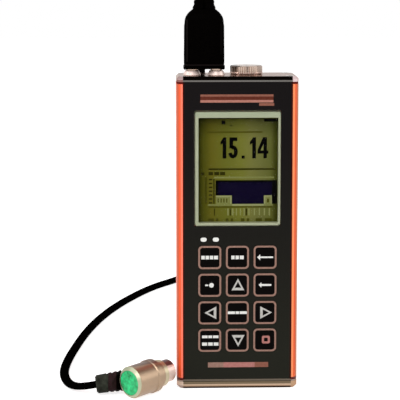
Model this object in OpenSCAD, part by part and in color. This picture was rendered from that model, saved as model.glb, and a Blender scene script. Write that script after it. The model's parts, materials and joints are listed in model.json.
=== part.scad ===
// Ultrasonic thickness gauge with its dual-element probe and twin lead.
// The gauge stands on its bottom end cap: X is across the front, Y goes from
// the front to the back, and Z goes up from the face that it stands on.

/* [Case] */
// Width of the case across its two side rails
case_w = 63.5; // [60:0.5:70]
// Depth of the case from the rails to the back
case_d = 31.5; // [31:0.5:36]
// Height of the gauge over both end caps
case_h = 165.1; // [164:0.5:180]
// Thickness of the case walls
wall = 1.9; // [1.6:0.1:2.2]
// Radius of the two front corners, which form the rails
front_corner_r = 4; // [3:0.5:5]
// Radius of the two back corners
back_corner_r = 6; // [4:0.5:7]
// Width of each side rail beside the front panel
rail_w = 3.2; // [2.6:0.2:3.8]
// How far the rails stand out past the front panel
rail_proud = 0.35; // [0.3:0.05:0.6]

/* [End caps] */
// Thickness of the top end cap
top_cap_t = 2.8; // [2.5:0.1:3.5]
// Thickness of the bottom end cap
bottom_cap_t = 3.8; // [3.5:0.1:4.5]
// Bevel round the outer edge of each end cap
cap_bevel = 1.3; // [0.9:0.1:1.5]
// Thickness of the gasket under each end cap
gasket_t = 1.2; // [0.9:0.1:1.5]
// Distance of the end cap screws from the outer faces of the case
screw_inset = 4.6; // [4.2:0.1:5]
// Diameter of the end cap screws
screw_d = 2.9; // [2.5:0.1:3]

/* [Front panel] */
// Thickness of the front overlay film and its backing
overlay_t = 0.5; // [0.4:0.05:0.7]
// Thickness of the keypad circuit behind the overlay
circuit_t = 1; // [0.9:0.05:1.2]
// Height of the band above the display window
top_band = 13.5; // [12:0.5:16]
// Width of the overlay beside the display window
window_side = 5.9; // [4.6:0.1:8]
// Width of the display's pale border at its sides
border_side = 2.3; // [1.5:0.1:3]
// Width of the display's pale border at its top
border_top = 4; // [3:0.1:5]
// Width of the display's pale border at its bottom
border_bottom = 2.2; // [1.5:0.1:3]
// Depth of the carrier between the display and the main board
carrier_t = 2.65; // [1.6:0.05:3]

/* [Keypad] */
// Width of a key
key_w = 12.15; // [10:0.25:13]
// Height of a key
key_h = 12.4; // [10:0.25:13]
// Gap between neighbouring keys
key_gap = 2.35; // [1.5:0.1:3]
// Corner radius of a key
key_corner_r = 2.2; // [1.5:0.1:3]
// How far a key stands out of the overlay
key_rise = 0.2; // [0.1:0.05:0.25]
// Travel of a key when it is pressed
key_travel = 0.35; // [0.2:0.05:0.4]
// Height of the band between the window and the keys
lamp_band = 10.2; // [8:0.5:12]
// Height of the band below the keys
bottom_band = 14.85; // [12:0.05:18]
// Diameter of the snap domes under the keys
dome_d = 8.6; // [7:0.2:9]

/* [Battery] */
// Length of a battery cell with its nub
cell_l = 50.5; // [49:0.5:51]
// Wall of the battery tube
tube_wall = 1.2; // [1:0.1:1.4]
// How far the battery cap's knurled head stands out past its stub
cap_lip = 1; // [0.8:0.1:1.8]
// Height of the battery cap's knurled head
cap_head_h = 4.4; // [3.6:0.1:5]
// Number of knurls round the battery cap
cap_knurls = 44; // [30:2:60]

/* [Probe sockets] */
// Distance between the two probe sockets
socket_pitch = 12.8; // [12:0.1:14]
// Distance from the case's left side to the first socket
socket_edge = 8.35; // [7.5:0.05:9]
// Diameter of a socket's flange where it meets the end cap
flange_d = 9.4; // [8.6:0.1:10.4]
// Height of a socket's flange
flange_h = 2.2; // [2:0.1:3.5]
// Diameter of a plug's nose
nose_d = 5; // [4:0.1:5]
// Length of a plug's nose in its socket
nose_l = 8; // [7:0.5:9]

/* [Plug boot] */
// Width of the boot that holds both plugs
boot_w = 21.3; // [20.6:0.1:24]
// Depth of the boot
boot_d = 11.5; // [10.5:0.1:12.5]
// Height of the boot's straight body
boot_h = 24.5; // [20:0.5:28]
// Height of the boot's sloping shoulder
shoulder_h = 7.2; // [5:0.2:9]
// Length of the ribbed strain relief above the boot
relief_l = 15.7; // [12:0.1:20]
// Diameter of the strain relief where it leaves the boot
relief_d = 10.6; // [9:0.2:11.4]

/* [Lead] */
// Width of the twin lead
lead_d = 4.2; // [3.6:0.1:4.2]

/* [Probe] */
// Diameter of the probe's back barrel
barrel_d = 16.6; // [15.8:0.1:17]
// Diameter of the probe's grip ring
ring_d = 17.6; // [17.2:0.1:18.4]
// Diameter of the probe's front barrel
front_barrel_d = 14.2; // [12.6:0.1:15]
// Diameter of the probe's tip
tip_d = 11.8; // [10:0.1:12.4]
// Length of the back barrel
barrel_l = 13.5; // [12.5:0.1:14.5]
// Length of the grip ring
ring_l = 4; // [3:0.2:5]
// Length of the front barrel
front_barrel_l = 5.6; // [5:0.2:7]
// Length of the tip
tip_l = 6; // [5:0.2:8]
// Diameter of the coloured disc in the back of the probe
disc_d = 12.8; // [11:0.1:13]
// Diameter of the probe's cable boot where it meets the housing
probe_boot_d = 10.8; // [9.8:0.1:11]
// Length of the probe's cable boot
probe_boot_l = 14; // [12:0.5:15]

/* [Hidden] */
$fn = 48;

// How far a cutting shape runs past the face that it cuts
overrun = 1;
// Gap between flat pieces that slide past or drop beside each other
fit_gap = 0.15;
// Radial gap between a turning or plugged piece and its bore
run_gap = 0.1;

// Case: heights
case_z0 = bottom_cap_t + gasket_t;
case_z1 = case_h - top_cap_t - gasket_t;
cap_under_z = case_h - top_cap_t;

// Case: places along Y, from the rails to the back
rail_y = -case_d / 2;
face_y = rail_y + rail_proud;
circuit_y = face_y + overlay_t;
front_wall_y = circuit_y + circuit_t;
inner_front_y = front_wall_y + wall;
back_y = case_d / 2;
inner_back_y = back_y - wall;
inner_half_w = case_w / 2 - wall;
cavity_corner_r = 1.5;
panel_w = case_w - 2 * rail_w;

// Screw ports in the case's corners, and the end cap screws
port_wall = 1.1;
port_r = screw_d / 2 + run_gap;
port_outer_r = port_r + port_wall;
port_x = case_w / 2 - screw_inset;
port_y = case_d / 2 - screw_inset;
screw_l = 12;
screw_head_d = 5;
screw_head_h = 1.5;
screw_hex_d = 2.2;
screw_hex_depth = 0.9;
screw_seat_d = screw_head_d + 2 * fit_gap;

// Display stack behind the window, along Y, up to the main board
lens_t = 0.8;
bezel_y = face_y + lens_t;
bezel_flange = 1.2;
bezel_flange_t = 0.9;
glass_y = inner_front_y + bezel_flange_t;
glass_t = 2;
backlight_y = glass_y + glass_t;
backlight_t = 0.6;
carrier_y = backlight_y + backlight_t;
carrier_rim = 3;
board_t = 1.6;
board_y = carrier_y + carrier_t;
board_back_y = board_y + board_t;

// Battery tube: its cells take the depth that is left behind the main board
cell_gap = 0.25;
tube_back_gap = 0.3;
board_tube_gap = 0.4;
cell_d = inner_back_y - tube_back_gap - board_back_y - board_tube_gap - 2 * (tube_wall + cell_gap);
tube_bore_r = cell_d / 2 + cell_gap;
tube_r = tube_bore_r + tube_wall;
stub_growth = 0.35;
stub_r = cell_d / 2 + stub_growth;
cap_head_d = 2 * (stub_r + cap_lip);
head_gap = 2.8;
socket_a_x = -case_w / 2 + socket_edge;
socket_b_x = socket_a_x + socket_pitch;
socket_y = 0;
battery_x = socket_b_x + flange_d / 2 + head_gap + cap_head_d / 2;
battery_y = inner_back_y - tube_back_gap - tube_r;

// Battery cap: a knurled head over a threaded stub, with a coin slot
stub_bore_r = stub_r + run_gap;
stub_l = 4.8;
head_lift = 0.1;
head_z = case_h + head_lift;
stub_z = head_z - stub_l;
collar_l = 4;
slot_w = 1.8;
slot_depth = 1.3;
knurl_depth = 0.35;
head_bevel = 0.5;
ring_section_r = 0.5;
ring_groove_drop = 1.1;

// Battery contacts and cells
contact_t = 0.5;
contact_inset = 1.75;
contact_w = cell_d - 2 * contact_inset;
cap_contact_t = 0.4;
cap_contact_inset = 3.1;
cap_contact_r = stub_r - cap_contact_inset;
nub_r = 2.75;
nub_h = 1.3;
cell_top_gap = 0.15;
cell_rest_gap = 0.05;
cell_pitch = cell_l + cell_rest_gap;
spring_least = 3;
spring_wire_d = 0.7;
spring_width_share = 0.6;
spring_r = spring_width_share * cell_d / 2;
spring_turns = 3;
spring_rings = 12;
spring_sides = 6;
cell_floor_z = bottom_cap_t + contact_t;
cell_roof_z = stub_z - cap_contact_t - cell_top_gap;
cell_count = floor((cell_roof_z - cell_floor_z - spring_least) / cell_pitch);
cell_z0 = cell_roof_z + cell_rest_gap - cell_count * cell_pitch;

// Main board's height, and the guides in the case walls that hold its edges
guide_t = 1;
guide_reach = 1.8;
board_bottom_gap = 1.5;
board_top_gap = 4;
board_z0 = case_z0 + board_bottom_gap;
board_z1 = case_z1 - board_top_gap;
board_half_w = inner_half_w - fit_gap;

// Display: the window fills the panel between its bands and the keys
key_columns = 3;
key_rows = 4;
key_block_h = key_rows * key_h + (key_rows - 1) * key_gap;
window_w = panel_w - 2 * window_side;
window_h = case_z1 - case_z0 - top_band - lamp_band - key_block_h - bottom_band;
window_z1 = case_z1 - top_band;
window_z0 = window_z1 - window_h;
window_z = (window_z0 + window_z1) / 2;
window_corner_r = 1;
view_w = window_w - 2 * border_side;
view_h = window_h - border_top - border_bottom;
view_z = window_z0 + border_bottom + view_h / 2;

// Keypad: places along X and Z
key_count = key_columns * key_rows;
key_pitch_x = key_w + key_gap;
key_pitch_z = key_h + key_gap;
key_top_z = window_z0 - lamp_band - key_h / 2;
function key_x(i) = (i % key_columns - (key_columns - 1) / 2) * key_pitch_x;
function key_z(i) = key_top_z - floor(i / key_columns) * key_pitch_z;
press_gap = 0.1;
key_well_depth = key_travel + press_gap;
dome_h = 0.4;
dome_t = 0.12;
dome_well_r = dome_d / 2 + fit_gap;
dome_well_depth = key_well_depth + dome_h;

// Status lamps: two light pipes above the left column of keys
lamp_w = 3.2;
lamp_h = 2.1;
lamp_pitch = 6.4;
lamp_side = 10.85;
lamp_height_share = 0.68;
lamp_z = window_z0 - lamp_band * lamp_height_share;
lamp_x0 = lamp_side - panel_w / 2;

// Flexible tail of the keypad circuit, through a slot in the front wall
tail_w = 10;
tail_t = 0.3;
tail_drop_share = 0.25;
tail_z = key_z(key_count - 1) - key_h * (0.5 + tail_drop_share);

// Chips and cans on the back of the main board, in two lanes beside the
// battery tube: how far the middle of each lane is from the board's edge
left_lane = 11.9;
right_lane = 6;
lane_x = [left_lane - board_half_w, board_half_w - right_lane];
// Lane of each chip, its place up the board, and its width, height and thickness
chip_lanes = [0, 0, 0, 1, 1, 0];
chip_height_shares = [0.16, 0.42, 0.62, 0.3, 0.6, 0.87];
chip_sizes = [[14, 14, 1.6], [10, 12, 1.4], [12, 8, 1.2], [6, 10, 1.5], [6, 8, 1.5], [8, 6, 1.2]];
shield_w = 18;
shield_h = 24;
shield_t = 3;
shield_wall = 0.3;
shield_height_share = 0.87;
beeper_d = 12;
beeper_t = 3.5;
beeper_hole_r = 1;
beeper_height_share = 0.29;

// Sockets and plugs
flange_bevel = 1.1;
nose_gap = 1;
socket_bore_r = nose_d / 2 + run_gap;
socket_wall = 0.9;
socket_barrel_r = socket_bore_r + socket_wall;
socket_top_z = case_h + flange_h;
socket_back = 5.2;
nut_wall = 0.9;
nut_flat_r = socket_barrel_r + nut_wall;
nut_h = 2.2;
pin_r = 0.6;
pin_l = 2;
lead_wire_r = 0.9;
plug_gap = 0.3;
shell_wall = 0.7;
shell_r = nose_d / 2 + shell_wall;
shell_l = 13.5;

// Boot over both plugs, and its strain relief with two sleeves
boot_z = socket_top_z + plug_gap;
boot_x = (socket_a_x + socket_b_x) / 2;
boot_corner_r = 4;
boot_rim = 0.25;
boot_rim_h = 2.6;
boot_draft = 0.3;
boot_top_z = boot_z + boot_h;
shoulder_bulge = 0.9;
skin_t = 0.2;
relief_z = boot_top_z + shoulder_h;
relief_top_z = relief_z + relief_l;
sleeve_r = relief_d / 4;
sleeve_end_r = lead_d / 2;
sleeve_end_x = 0.6;
sleeve_rib = 0.35;
sleeve_rib_h = 1;
sleeve_rib_shares = [0.12, 0.3, 0.48, 0.66];

// Lead: round tube on a route of hand-chosen points
lead_r = lead_d / 2;
lead_sides = 8;
coil_sides = 6;
coil_rings = 24;
coil_x = 4;
coil_y = 235.5;
coil_r = 27.5;
turn_gap = 0.5;
coil_pitch = lead_d + turn_gap;
coil_turns = 2.5;
climb_turns = 0.5;

// Route from the strain relief, over the top and down behind the gauge
drop_route = [
    [-17, 0, 215], [-17, 0, 220], [-17, 0.6, 228], [-17, 3.4, 236], [-17, 9.4, 243.6],
    [-17, 18, 248.8], [-17, 28.5, 250.6], [-17, 39, 248.8], [-17, 47.6, 243.6],
    [-17, 53.6, 236], [-17, 56.4, 227], [-17, 57, 216], [-17, 57, 204], [-17, 57, 192],
    [-17, 57, 180], [-17, 57, 168], [-17, 57, 156], [-17, 57, 144], [-17, 57, 132],
    [-17, 57, 120], [-17, 57, 108], [-17, 57, 96], [-17, 57, 84], [-17, 57, 72],
    [-17, 57, 60], [-17, 57, 48], [-17, 57, 40]
];
// Route across the table to the coil
back_route = [
    [-17, 57, 40], [-17, 57, 32], [-17, 59.4, 21], [-17, 65.6, 11.4], [-17, 74.4, 5.2],
    [-17, 85, 2.6], [-17, 96, 2.1], [-17, 108, 2.1], [-17, 120, 2.1], [-17, 132, 2.1],
    [-17, 144, 2.1], [-17, 156, 2.1], [-17, 168, 2.1], [-17, 180, 2.1], [-16.2, 190, 2.1],
    [-13.4, 198.6, 2.1], [-8.6, 205, 2.1], [-4.4, 207.2, 2.1], [-0.2, 208, 2.1]
];
// Route from the coil round to the probe, up to the last bend
floor_route = [
    [-0.2, 263, 6.8], [-5, 263, 6.8], [-12.6, 261.8, 5.6], [-20, 258.2, 3.6], [-26.6, 252, 2.4],
    [-32.4, 244.2, 2.1], [-38, 236.2, 2.1], [-42.8, 228.7, 2.1], [-48.6, 218, 2.1],
    [-54.1, 206.3, 2.1], [-59, 194.5, 2.1], [-63.6, 182.8, 2.1], [-67.7, 171, 2.1],
    [-71.5, 159.2, 2.1], [-74.8, 147.4, 2.1], [-77.8, 135.6, 2.1], [-80.4, 123.8, 2.1],
    [-82.7, 112, 2.1], [-84.7, 100.2, 2.1], [-86.5, 88.3, 2.1], [-88, 76.5, 2.1],
    [-89.4, 64.6, 2.1], [-90.7, 52.8, 2.1], [-91.8, 40.9, 2.1], [-92.6, 29.1, 2.1],
    [-92.9, 18.2, 2.1], [-92.5, 8.2, 2.1], [-91.1, -1.7, 2.1], [-88.8, -10.7, 2.3],
    [-85.6, -18.2, 3.1], [-82.2, -22.8, 4]
];

// Probe: it lies on its grip ring, turned away from the front and a little nose up
probe_x = -56.6;
probe_y = -32.8;
probe_turn = 45.3;
probe_rise = 2;
back_bevel = 1.3;
rim_bevel = 0.5;
disc_depth = 0.8;
disc_t = 0.6;
disc_dish = 0.3;
ring_bevel = 0.5;
probe_z = ring_d / 2 * cos(probe_rise) - (barrel_l + ring_bevel) * sin(probe_rise);
step_bevel = 0.6;
tip_wall = 1.1;
line_proud = 0.3;
line_l = 8.6;
barrier_t = 0.8;
probe_l = barrel_l + ring_l + front_barrel_l + tip_l;
line_r = tip_d / 2 - tip_wall;

// Angled neck and cable boot on the probe's side
neck_share = 0.5;
neck_at = neck_share * probe_l;
neck_angle = 40;
neck_tilt = 5.3;
neck_r = 4.2;
neck_l = 14;
probe_boot_end_r = 4.75;
probe_boot_bevel = 0.9;
probe_rib = 0.4;
probe_rib_w = 1.1;
probe_rib_shares = [0.1, 0.3, 0.5];

// Outlines and small helpers

// Rectangle of width w and height h round the origin, with round corners
module rounded(w, h, r) {
    square([w - 2 * r, h], center = true);
    square([w, h - 2 * r], center = true);
    for (x = [-1, 1], y = [-1, 1])
        translate([x * (w / 2 - r), y * (h / 2 - r)]) circle(r);
}

// Outline of the case seen from above, grown by the given amount
module case_outline(grow = 0) {
    half_w = case_w / 2 + grow;
    half_d = case_d / 2 + grow;
    front_r = front_corner_r + grow;
    back_r = back_corner_r + grow;
    polygon([
        [-half_w + front_r, -half_d], [half_w - front_r, -half_d], [half_w, -half_d + front_r],
        [half_w, half_d - back_r], [half_w - back_r, half_d], [-half_w + back_r, half_d],
        [-half_w, half_d - back_r], [-half_w, -half_d + front_r]
    ]);
    for (s = [-1, 1]) {
        translate([s * (half_w - front_r), -half_d + front_r]) circle(front_r);
        translate([s * (half_w - back_r), half_d - back_r]) circle(back_r);
    }
}

// The four screw places
module at_ports() {
    for (x = [-1, 1], y = [-1, 1])
        translate([x * port_x, y * port_y]) children();
}

// Block between a screw port and the nearest corner of the case
module port_outline() {
    for (x = [-1, 1], y = [-1, 1])
        translate([x * port_x, y * port_y]) {
            circle(port_outer_r);
            scale([x, y]) {
                square([screw_inset - wall / 2, port_outer_r]);
                square([port_outer_r, screw_inset - wall / 2]);
            }
        }
}

// Free space inside the case
module cavity_outline() {
    difference() {
        translate([0, (inner_front_y + inner_back_y) / 2])
            rounded(2 * inner_half_w, inner_back_y - inner_front_y, cavity_corner_r);
        port_outline();
        for (s = [-1, 1], y = [board_y - fit_gap - guide_t, board_back_y + fit_gap])
            translate([s * inner_half_w - guide_reach, y])
                square([2 * guide_reach, guide_t]);
    }
}

// Extrudes a front-view outline, drawn in X and Z, from y0 to y1
module front_slab(y0, y1) {
    translate([0, y1, 0]) rotate([90, 0, 0]) linear_extrude(y1 - y0) children();
}

// Front-view outlines of the window, the keys and the lamps
module window_outline(grow = 0) {
    translate([0, window_z])
        rounded(window_w + 2 * grow, window_h + 2 * grow, window_corner_r + grow);
}
module view_outline(grow = 0) {
    translate([0, view_z]) square([view_w + 2 * grow, view_h + 2 * grow], center = true);
}
module key_outline(i, grow = 0) {
    translate([key_x(i), key_z(i)])
        rounded(key_w + 2 * grow, key_h + 2 * grow, key_corner_r + grow);
}
module lamp_outline(grow = 0) {
    for (i = [0, 1])
        translate([lamp_x0 + i * lamp_pitch, lamp_z]) {
            square([lamp_w - lamp_h, lamp_h + 2 * grow], center = true);
            for (s = [-1, 1])
                translate([s * (lamp_w - lamp_h) / 2, 0]) circle(lamp_h / 2 + grow);
        }
}

// Tube through a list of points: rings square to the route, joined by triangles
function unit(v) = v / norm(v);
function heading(route, i) =
    unit(route[min(i + 1, len(route) - 1)] - route[max(i - 1, 0)]);
function square_to(u, h) = unit(u - (u * h) * h);
// Sideways directions along a route, each turned as little as can be from the last
function sideways(route, first) = [
    for (i = 0, u = square_to(first, heading(route, 0)); i < len(route);
        i = i + 1, u = i < len(route) ? square_to(u, heading(route, i)) : u) u
];
function ring(centre, h, u, r, sides) =
    [for (k = [0 : sides - 1]) let(a = k * 360 / sides) centre + r * (cos(a) * u + sin(a) * cross(h, u))];
module tube(route, r, sides, first) {
    rings = len(route);
    u = sideways(route, first);
    points = [for (i = [0 : rings - 1]) each ring(route[i], heading(route, i), u[i], r, sides)];
    skin = [for (i = [0 : rings - 2], k = [0 : sides - 1])
        let(a = i * sides + k, b = i * sides + (k + 1) % sides)
        each [[a, b, b + sides], [a, b + sides, a + sides]]];
    start = [for (k = [1 : sides - 2]) [0, k + 1, k]];
    last = (rings - 1) * sides;
    finish = [for (k = [1 : sides - 2]) [last, last + k, last + k + 1]];
    polyhedron(points, concat(skin, start, finish));
}

// Case and end caps

module case_extrusion() {
    color([0.93, 0.33, 0.2]) difference() {
        translate([0, 0, case_z0]) linear_extrude(case_z1 - case_z0) difference() {
            case_outline();
            cavity_outline();
            translate([0, rail_y]) square([panel_w, 2 * (front_wall_y - rail_y)], center = true);
            at_ports() circle(port_r);
        }
        front_slab(front_wall_y - overrun, inner_front_y + overrun) {
            window_outline();
            lamp_outline(fit_gap);
            translate([0, tail_z]) square([tail_w + 2 * fit_gap, tail_t + 2 * fit_gap], center = true);
        }
    }
}

// Plate of an end cap with a bevel round its outer edge, which points up
module cap_plate(t) {
    hull() {
        linear_extrude(t - cap_bevel) case_outline($fn = 32);
        linear_extrude(t) case_outline(-cap_bevel, $fn = 32);
    }
}
// Holes for the end cap screws, with a seat for each head at height z
module screw_holes(t) {
    at_ports() {
        translate([0, 0, -overrun]) cylinder(t + 2 * overrun, r = port_r);
        translate([0, 0, t - screw_head_h]) cylinder(screw_head_h + overrun, d = screw_seat_d);
    }
}

module top_end_cap() {
    color([0.75, 0.7, 0.63]) translate([0, 0, cap_under_z]) difference() {
        cap_plate(top_cap_t);
        screw_holes(top_cap_t);
        translate([0, rail_y, top_cap_t / 2])
            cube([panel_w, 2 * rail_proud, top_cap_t + 2 * overrun], center = true);
        for (x = [socket_a_x, socket_b_x])
            translate([x, socket_y, -overrun])
                cylinder(top_cap_t + 2 * overrun, r = socket_barrel_r + run_gap);
        translate([battery_x, battery_y, -overrun])
            cylinder(top_cap_t + 2 * overrun, r = stub_bore_r);
    }
}

module bottom_end_cap() {
    color([0.75, 0.7, 0.63]) translate([0, 0, bottom_cap_t]) mirror([0, 0, 1]) difference() {
        cap_plate(bottom_cap_t);
        screw_holes(bottom_cap_t);
    }
}

module gasket(z) {
    color([0.05, 0.05, 0.05]) translate([0, 0, z]) linear_extrude(gasket_t) difference() {
        case_outline(-fit_gap);
        cavity_outline();
        translate([0, rail_y]) square([panel_w, 2 * (front_wall_y - rail_y)], center = true);
        at_ports() circle(port_r);
    }
}
module top_gasket() gasket(case_z1);
module bottom_gasket() gasket(bottom_cap_t);

module cap_screws(t) {
    color([0.8, 0.8, 0.8]) at_ports() difference() {
        union() {
            translate([0, 0, t - screw_head_h]) cylinder(screw_head_h, d = screw_head_d);
            translate([0, 0, t - screw_l]) cylinder(screw_l - screw_head_h + fit_gap, d = screw_d);
        }
        translate([0, 0, t - screw_hex_depth])
            cylinder(screw_hex_depth + overrun, d = screw_hex_d, $fn = 6);
    }
}
module top_screws() translate([0, 0, cap_under_z]) cap_screws(top_cap_t);
module bottom_screws() translate([0, 0, bottom_cap_t]) mirror([0, 0, 1]) cap_screws(bottom_cap_t);

// Front panel and keypad

module front_overlay() {
    half_w = panel_w / 2 - fit_gap;
    color([0.06, 0.07, 0.07]) front_slab(face_y, circuit_y) difference() {
        translate([-half_w, bottom_cap_t + fit_gap])
            square([2 * half_w, cap_under_z - bottom_cap_t - 2 * fit_gap]);
        window_outline();
        lamp_outline(fit_gap);
        for (i = [0 : key_count - 1]) key_outline(i, fit_gap);
    }
}

module keypad_circuit() {
    half_w = panel_w / 2 - fit_gap;
    color([0.12, 0.12, 0.11]) difference() {
        front_slab(circuit_y, front_wall_y) difference() {
            translate([-half_w, case_z0 + fit_gap]) square([2 * half_w, case_z1 - case_z0 - 2 * fit_gap]);
            window_outline();
            lamp_outline(fit_gap);
        }
        front_slab(circuit_y - overrun, circuit_y + key_well_depth)
            for (i = [0 : key_count - 1]) key_outline(i, fit_gap);
        front_slab(circuit_y, circuit_y + dome_well_depth)
            for (i = [0 : key_count - 1]) translate([key_x(i), key_z(i)]) circle(dome_well_r);
    }
}

// Snap dome: a low cone of sheet metal, flat on top
module dome() {
    base_r = dome_d / 2;
    rotate_extrude() polygon([
        [0, dome_h - dome_t], [base_r / 2, dome_h - dome_t], [base_r, 0],
        [base_r, dome_t], [base_r / 2, dome_h], [0, dome_h]
    ]);
}
module key_domes() {
    color([0.8, 0.78, 0.7]) for (i = [0 : key_count - 1])
        translate([key_x(i), circuit_y + dome_well_depth, key_z(i)]) rotate([90, 0, 0]) dome();
}

module key(i) {
    color([0.02, 0.02, 0.02]) front_slab(face_y - key_rise, circuit_y) key_outline(i);
}

module display_window() {
    color([0.5, 0.52, 0.2]) front_slab(face_y, bezel_y) window_outline(-fit_gap / 2);
}

module display_bezel() {
    color([0.82, 0.82, 0.74]) {
        difference() {
            front_slab(bezel_y, inner_front_y) window_outline(-fit_gap / 2);
            front_slab(bezel_y - overrun, inner_front_y + overrun) view_outline();
        }
        difference() {
            front_slab(inner_front_y, glass_y) window_outline(bezel_flange);
            front_slab(inner_front_y - overrun, glass_y + overrun) view_outline();
        }
    }
}

module lcd_glass() {
    color([0.48, 0.48, 0.12]) front_slab(glass_y, backlight_y) view_outline(bezel_flange);
}
module backlight() {
    color([0.85, 0.9, 0.8]) front_slab(backlight_y, carrier_y) view_outline(bezel_flange);
}
module display_carrier() {
    color([0.1, 0.1, 0.1]) front_slab(carrier_y, board_y) difference() {
        view_outline(bezel_flange);
        view_outline(bezel_flange - carrier_rim);
    }
}

module light_pipes() {
    color([0.95, 0.95, 0.92]) front_slab(face_y, board_y) lamp_outline();
}

module keypad_tail() {
    color([0.7, 0.45, 0.15]) translate([-tail_w / 2, front_wall_y, tail_z - tail_t / 2])
        cube([tail_w, board_y - front_wall_y, tail_t]);
}

// Electronics

module main_board() {
    color([0.05, 0.35, 0.15]) front_slab(board_y, board_back_y)
        translate([-board_half_w, board_z0]) square([2 * board_half_w, board_z1 - board_z0]);
}

// Place on the back of the board: its lane, and a share of the board's height
function board_place(lane, share) =
    [lane_x[lane], board_back_y, board_z0 + share * (board_z1 - board_z0)];

module board_chips() {
    color([0.1, 0.1, 0.1]) for (i = [0 : len(chip_sizes) - 1])
        translate(board_place(chip_lanes[i], chip_height_shares[i]))
            translate([-chip_sizes[i][0] / 2, 0, -chip_sizes[i][1] / 2])
                cube([chip_sizes[i][0], chip_sizes[i][2], chip_sizes[i][1]]);
}

module pulser_shield() {
    inner_w = shield_w - 2 * shield_wall;
    inner_h = shield_h - 2 * shield_wall;
    color([0.78, 0.78, 0.76]) translate(board_place(0, shield_height_share)) difference() {
        translate([-shield_w / 2, 0, -shield_h / 2]) cube([shield_w, shield_t, shield_h]);
        translate([-inner_w / 2, -overrun, -inner_h / 2])
            cube([inner_w, shield_t - shield_wall + overrun, inner_h]);
    }
}

module beeper() {
    color([0.08, 0.08, 0.08]) translate(board_place(0, beeper_height_share)) rotate([-90, 0, 0]) difference() {
        cylinder(beeper_t, d = beeper_d);
        translate([0, 0, beeper_t / 2]) cylinder(beeper_t, r = beeper_hole_r);
    }
}

// Battery compartment

module at_battery(z) translate([battery_x, battery_y, z]) children();

module battery_tube() {
    tube_top_z = cap_under_z - fit_gap;
    color([0.85, 0.85, 0.8]) difference() {
        at_battery(bottom_cap_t) cylinder(tube_top_z - bottom_cap_t, r = tube_r);
        at_battery(cell_floor_z) cylinder(tube_top_z, r = tube_bore_r);
        at_battery(tube_top_z - collar_l) cylinder(collar_l + overrun, r = stub_bore_r);
        at_battery(bottom_cap_t - overrun)
            cube([contact_w, contact_w, 4 * overrun], center = true);
    }
}

module spring_contact() {
    color([0.85, 0.8, 0.6]) at_battery(bottom_cap_t + contact_t / 2)
        cube([contact_w - 2 * fit_gap, contact_w - 2 * fit_gap, contact_t], center = true);
}

// Flat helix of wire between the contact and the lowest cell
module battery_spring() {
    rise = cell_z0 - cell_floor_z - spring_wire_d;
    steps = spring_turns * spring_rings;
    route = [for (i = [0 : steps]) let(a = 360 * i / spring_rings)
        [spring_r * cos(a), spring_r * sin(a), spring_wire_d / 2 + rise * i / steps]];
    color([0.8, 0.8, 0.78]) at_battery(cell_floor_z) tube(route, spring_wire_d / 2, spring_sides, [0, 0, 1]);
}

module battery_cells() {
    color([0.2, 0.25, 0.6]) for (i = [0 : cell_count - 1]) at_battery(cell_z0 + i * cell_pitch) {
        cylinder(cell_l - nub_h, d = cell_d);
        cylinder(cell_l, r = nub_r);
    }
}

module battery_cap() {
    head_r = cap_head_d / 2;
    color([0.75, 0.7, 0.63]) difference() {
        union() {
            at_battery(head_z) rotate_extrude() polygon([
                [0, 0], [head_r - head_bevel, 0], [head_r, head_bevel],
                [head_r, cap_head_h - head_bevel], [head_r - head_bevel, cap_head_h], [0, cap_head_h]
            ]);
            at_battery(stub_z) cylinder(stub_l + head_bevel, r = stub_r);
        }
        at_battery(head_z + cap_head_h - slot_depth)
            translate([-head_r - overrun, -slot_w / 2, 0]) cube([2 * (head_r + overrun), slot_w, cap_head_h]);
        at_battery(head_z - ring_groove_drop) rotate_extrude()
            translate([stub_r - 2 * ring_section_r, -ring_section_r])
                square([2 * ring_section_r + overrun, 2 * ring_section_r]);
        for (k = [0 : cap_knurls - 1])
            at_battery(head_z - overrun) rotate([0, 0, k * 360 / cap_knurls]) translate([head_r, 0, 0])
                rotate([0, 0, 45]) cube([knurl_depth, knurl_depth, 2 * (cap_head_h + 2 * overrun)], center = true);
    }
}

module cap_o_ring() {
    color([0.05, 0.05, 0.05]) at_battery(head_z - ring_groove_drop) rotate_extrude()
        translate([stub_r - ring_section_r, 0]) circle(ring_section_r);
}

module cap_contact() {
    color([0.85, 0.8, 0.6]) at_battery(stub_z - cap_contact_t) cylinder(cap_contact_t, r = cap_contact_r);
}

// Probe sockets in the top end cap

module probe_socket(x) {
    flange_r = flange_d / 2;
    barrel_z = cap_under_z - socket_back;
    color([0.8, 0.76, 0.7]) translate([x, socket_y, 0]) difference() {
        union() {
            translate([0, 0, case_h])
                cylinder(flange_h, r1 = flange_r, r2 = flange_r - flange_bevel);
            translate([0, 0, barrel_z]) cylinder(case_h - barrel_z, r = socket_barrel_r);
            translate([0, 0, barrel_z - pin_l]) cylinder(pin_l, r = pin_r);
        }
        translate([0, 0, socket_top_z - nose_l - nose_gap])
            cylinder(nose_l + nose_gap + overrun, r = socket_bore_r);
    }
}
module probe_socket_a() probe_socket(socket_a_x);
module probe_socket_b() probe_socket(socket_b_x);

module socket_nuts() {
    color([0.8, 0.76, 0.7]) for (x = [socket_a_x, socket_b_x])
        translate([x, socket_y, cap_under_z - nut_h]) difference() {
            rotate([0, 0, 30]) cylinder(nut_h, r = nut_flat_r / cos(30), $fn = 6);
            translate([0, 0, -overrun]) cylinder(nut_h + 2 * overrun, r = socket_barrel_r + run_gap);
        }
}

// Short wires from the socket pins down and forward onto the board
module socket_leads() {
    wire_z = cap_under_z - socket_back - pin_l - lead_wire_r;
    color([0.7, 0.1, 0.1]) for (x = [socket_a_x, socket_b_x]) translate([x, 0, 0]) {
        translate([0, board_back_y, wire_z]) rotate([-90, 0, 0])
            cylinder(socket_y + lead_wire_r - board_back_y, r = lead_wire_r);
    }
}

// Twin plug, its boot and strain relief

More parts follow.
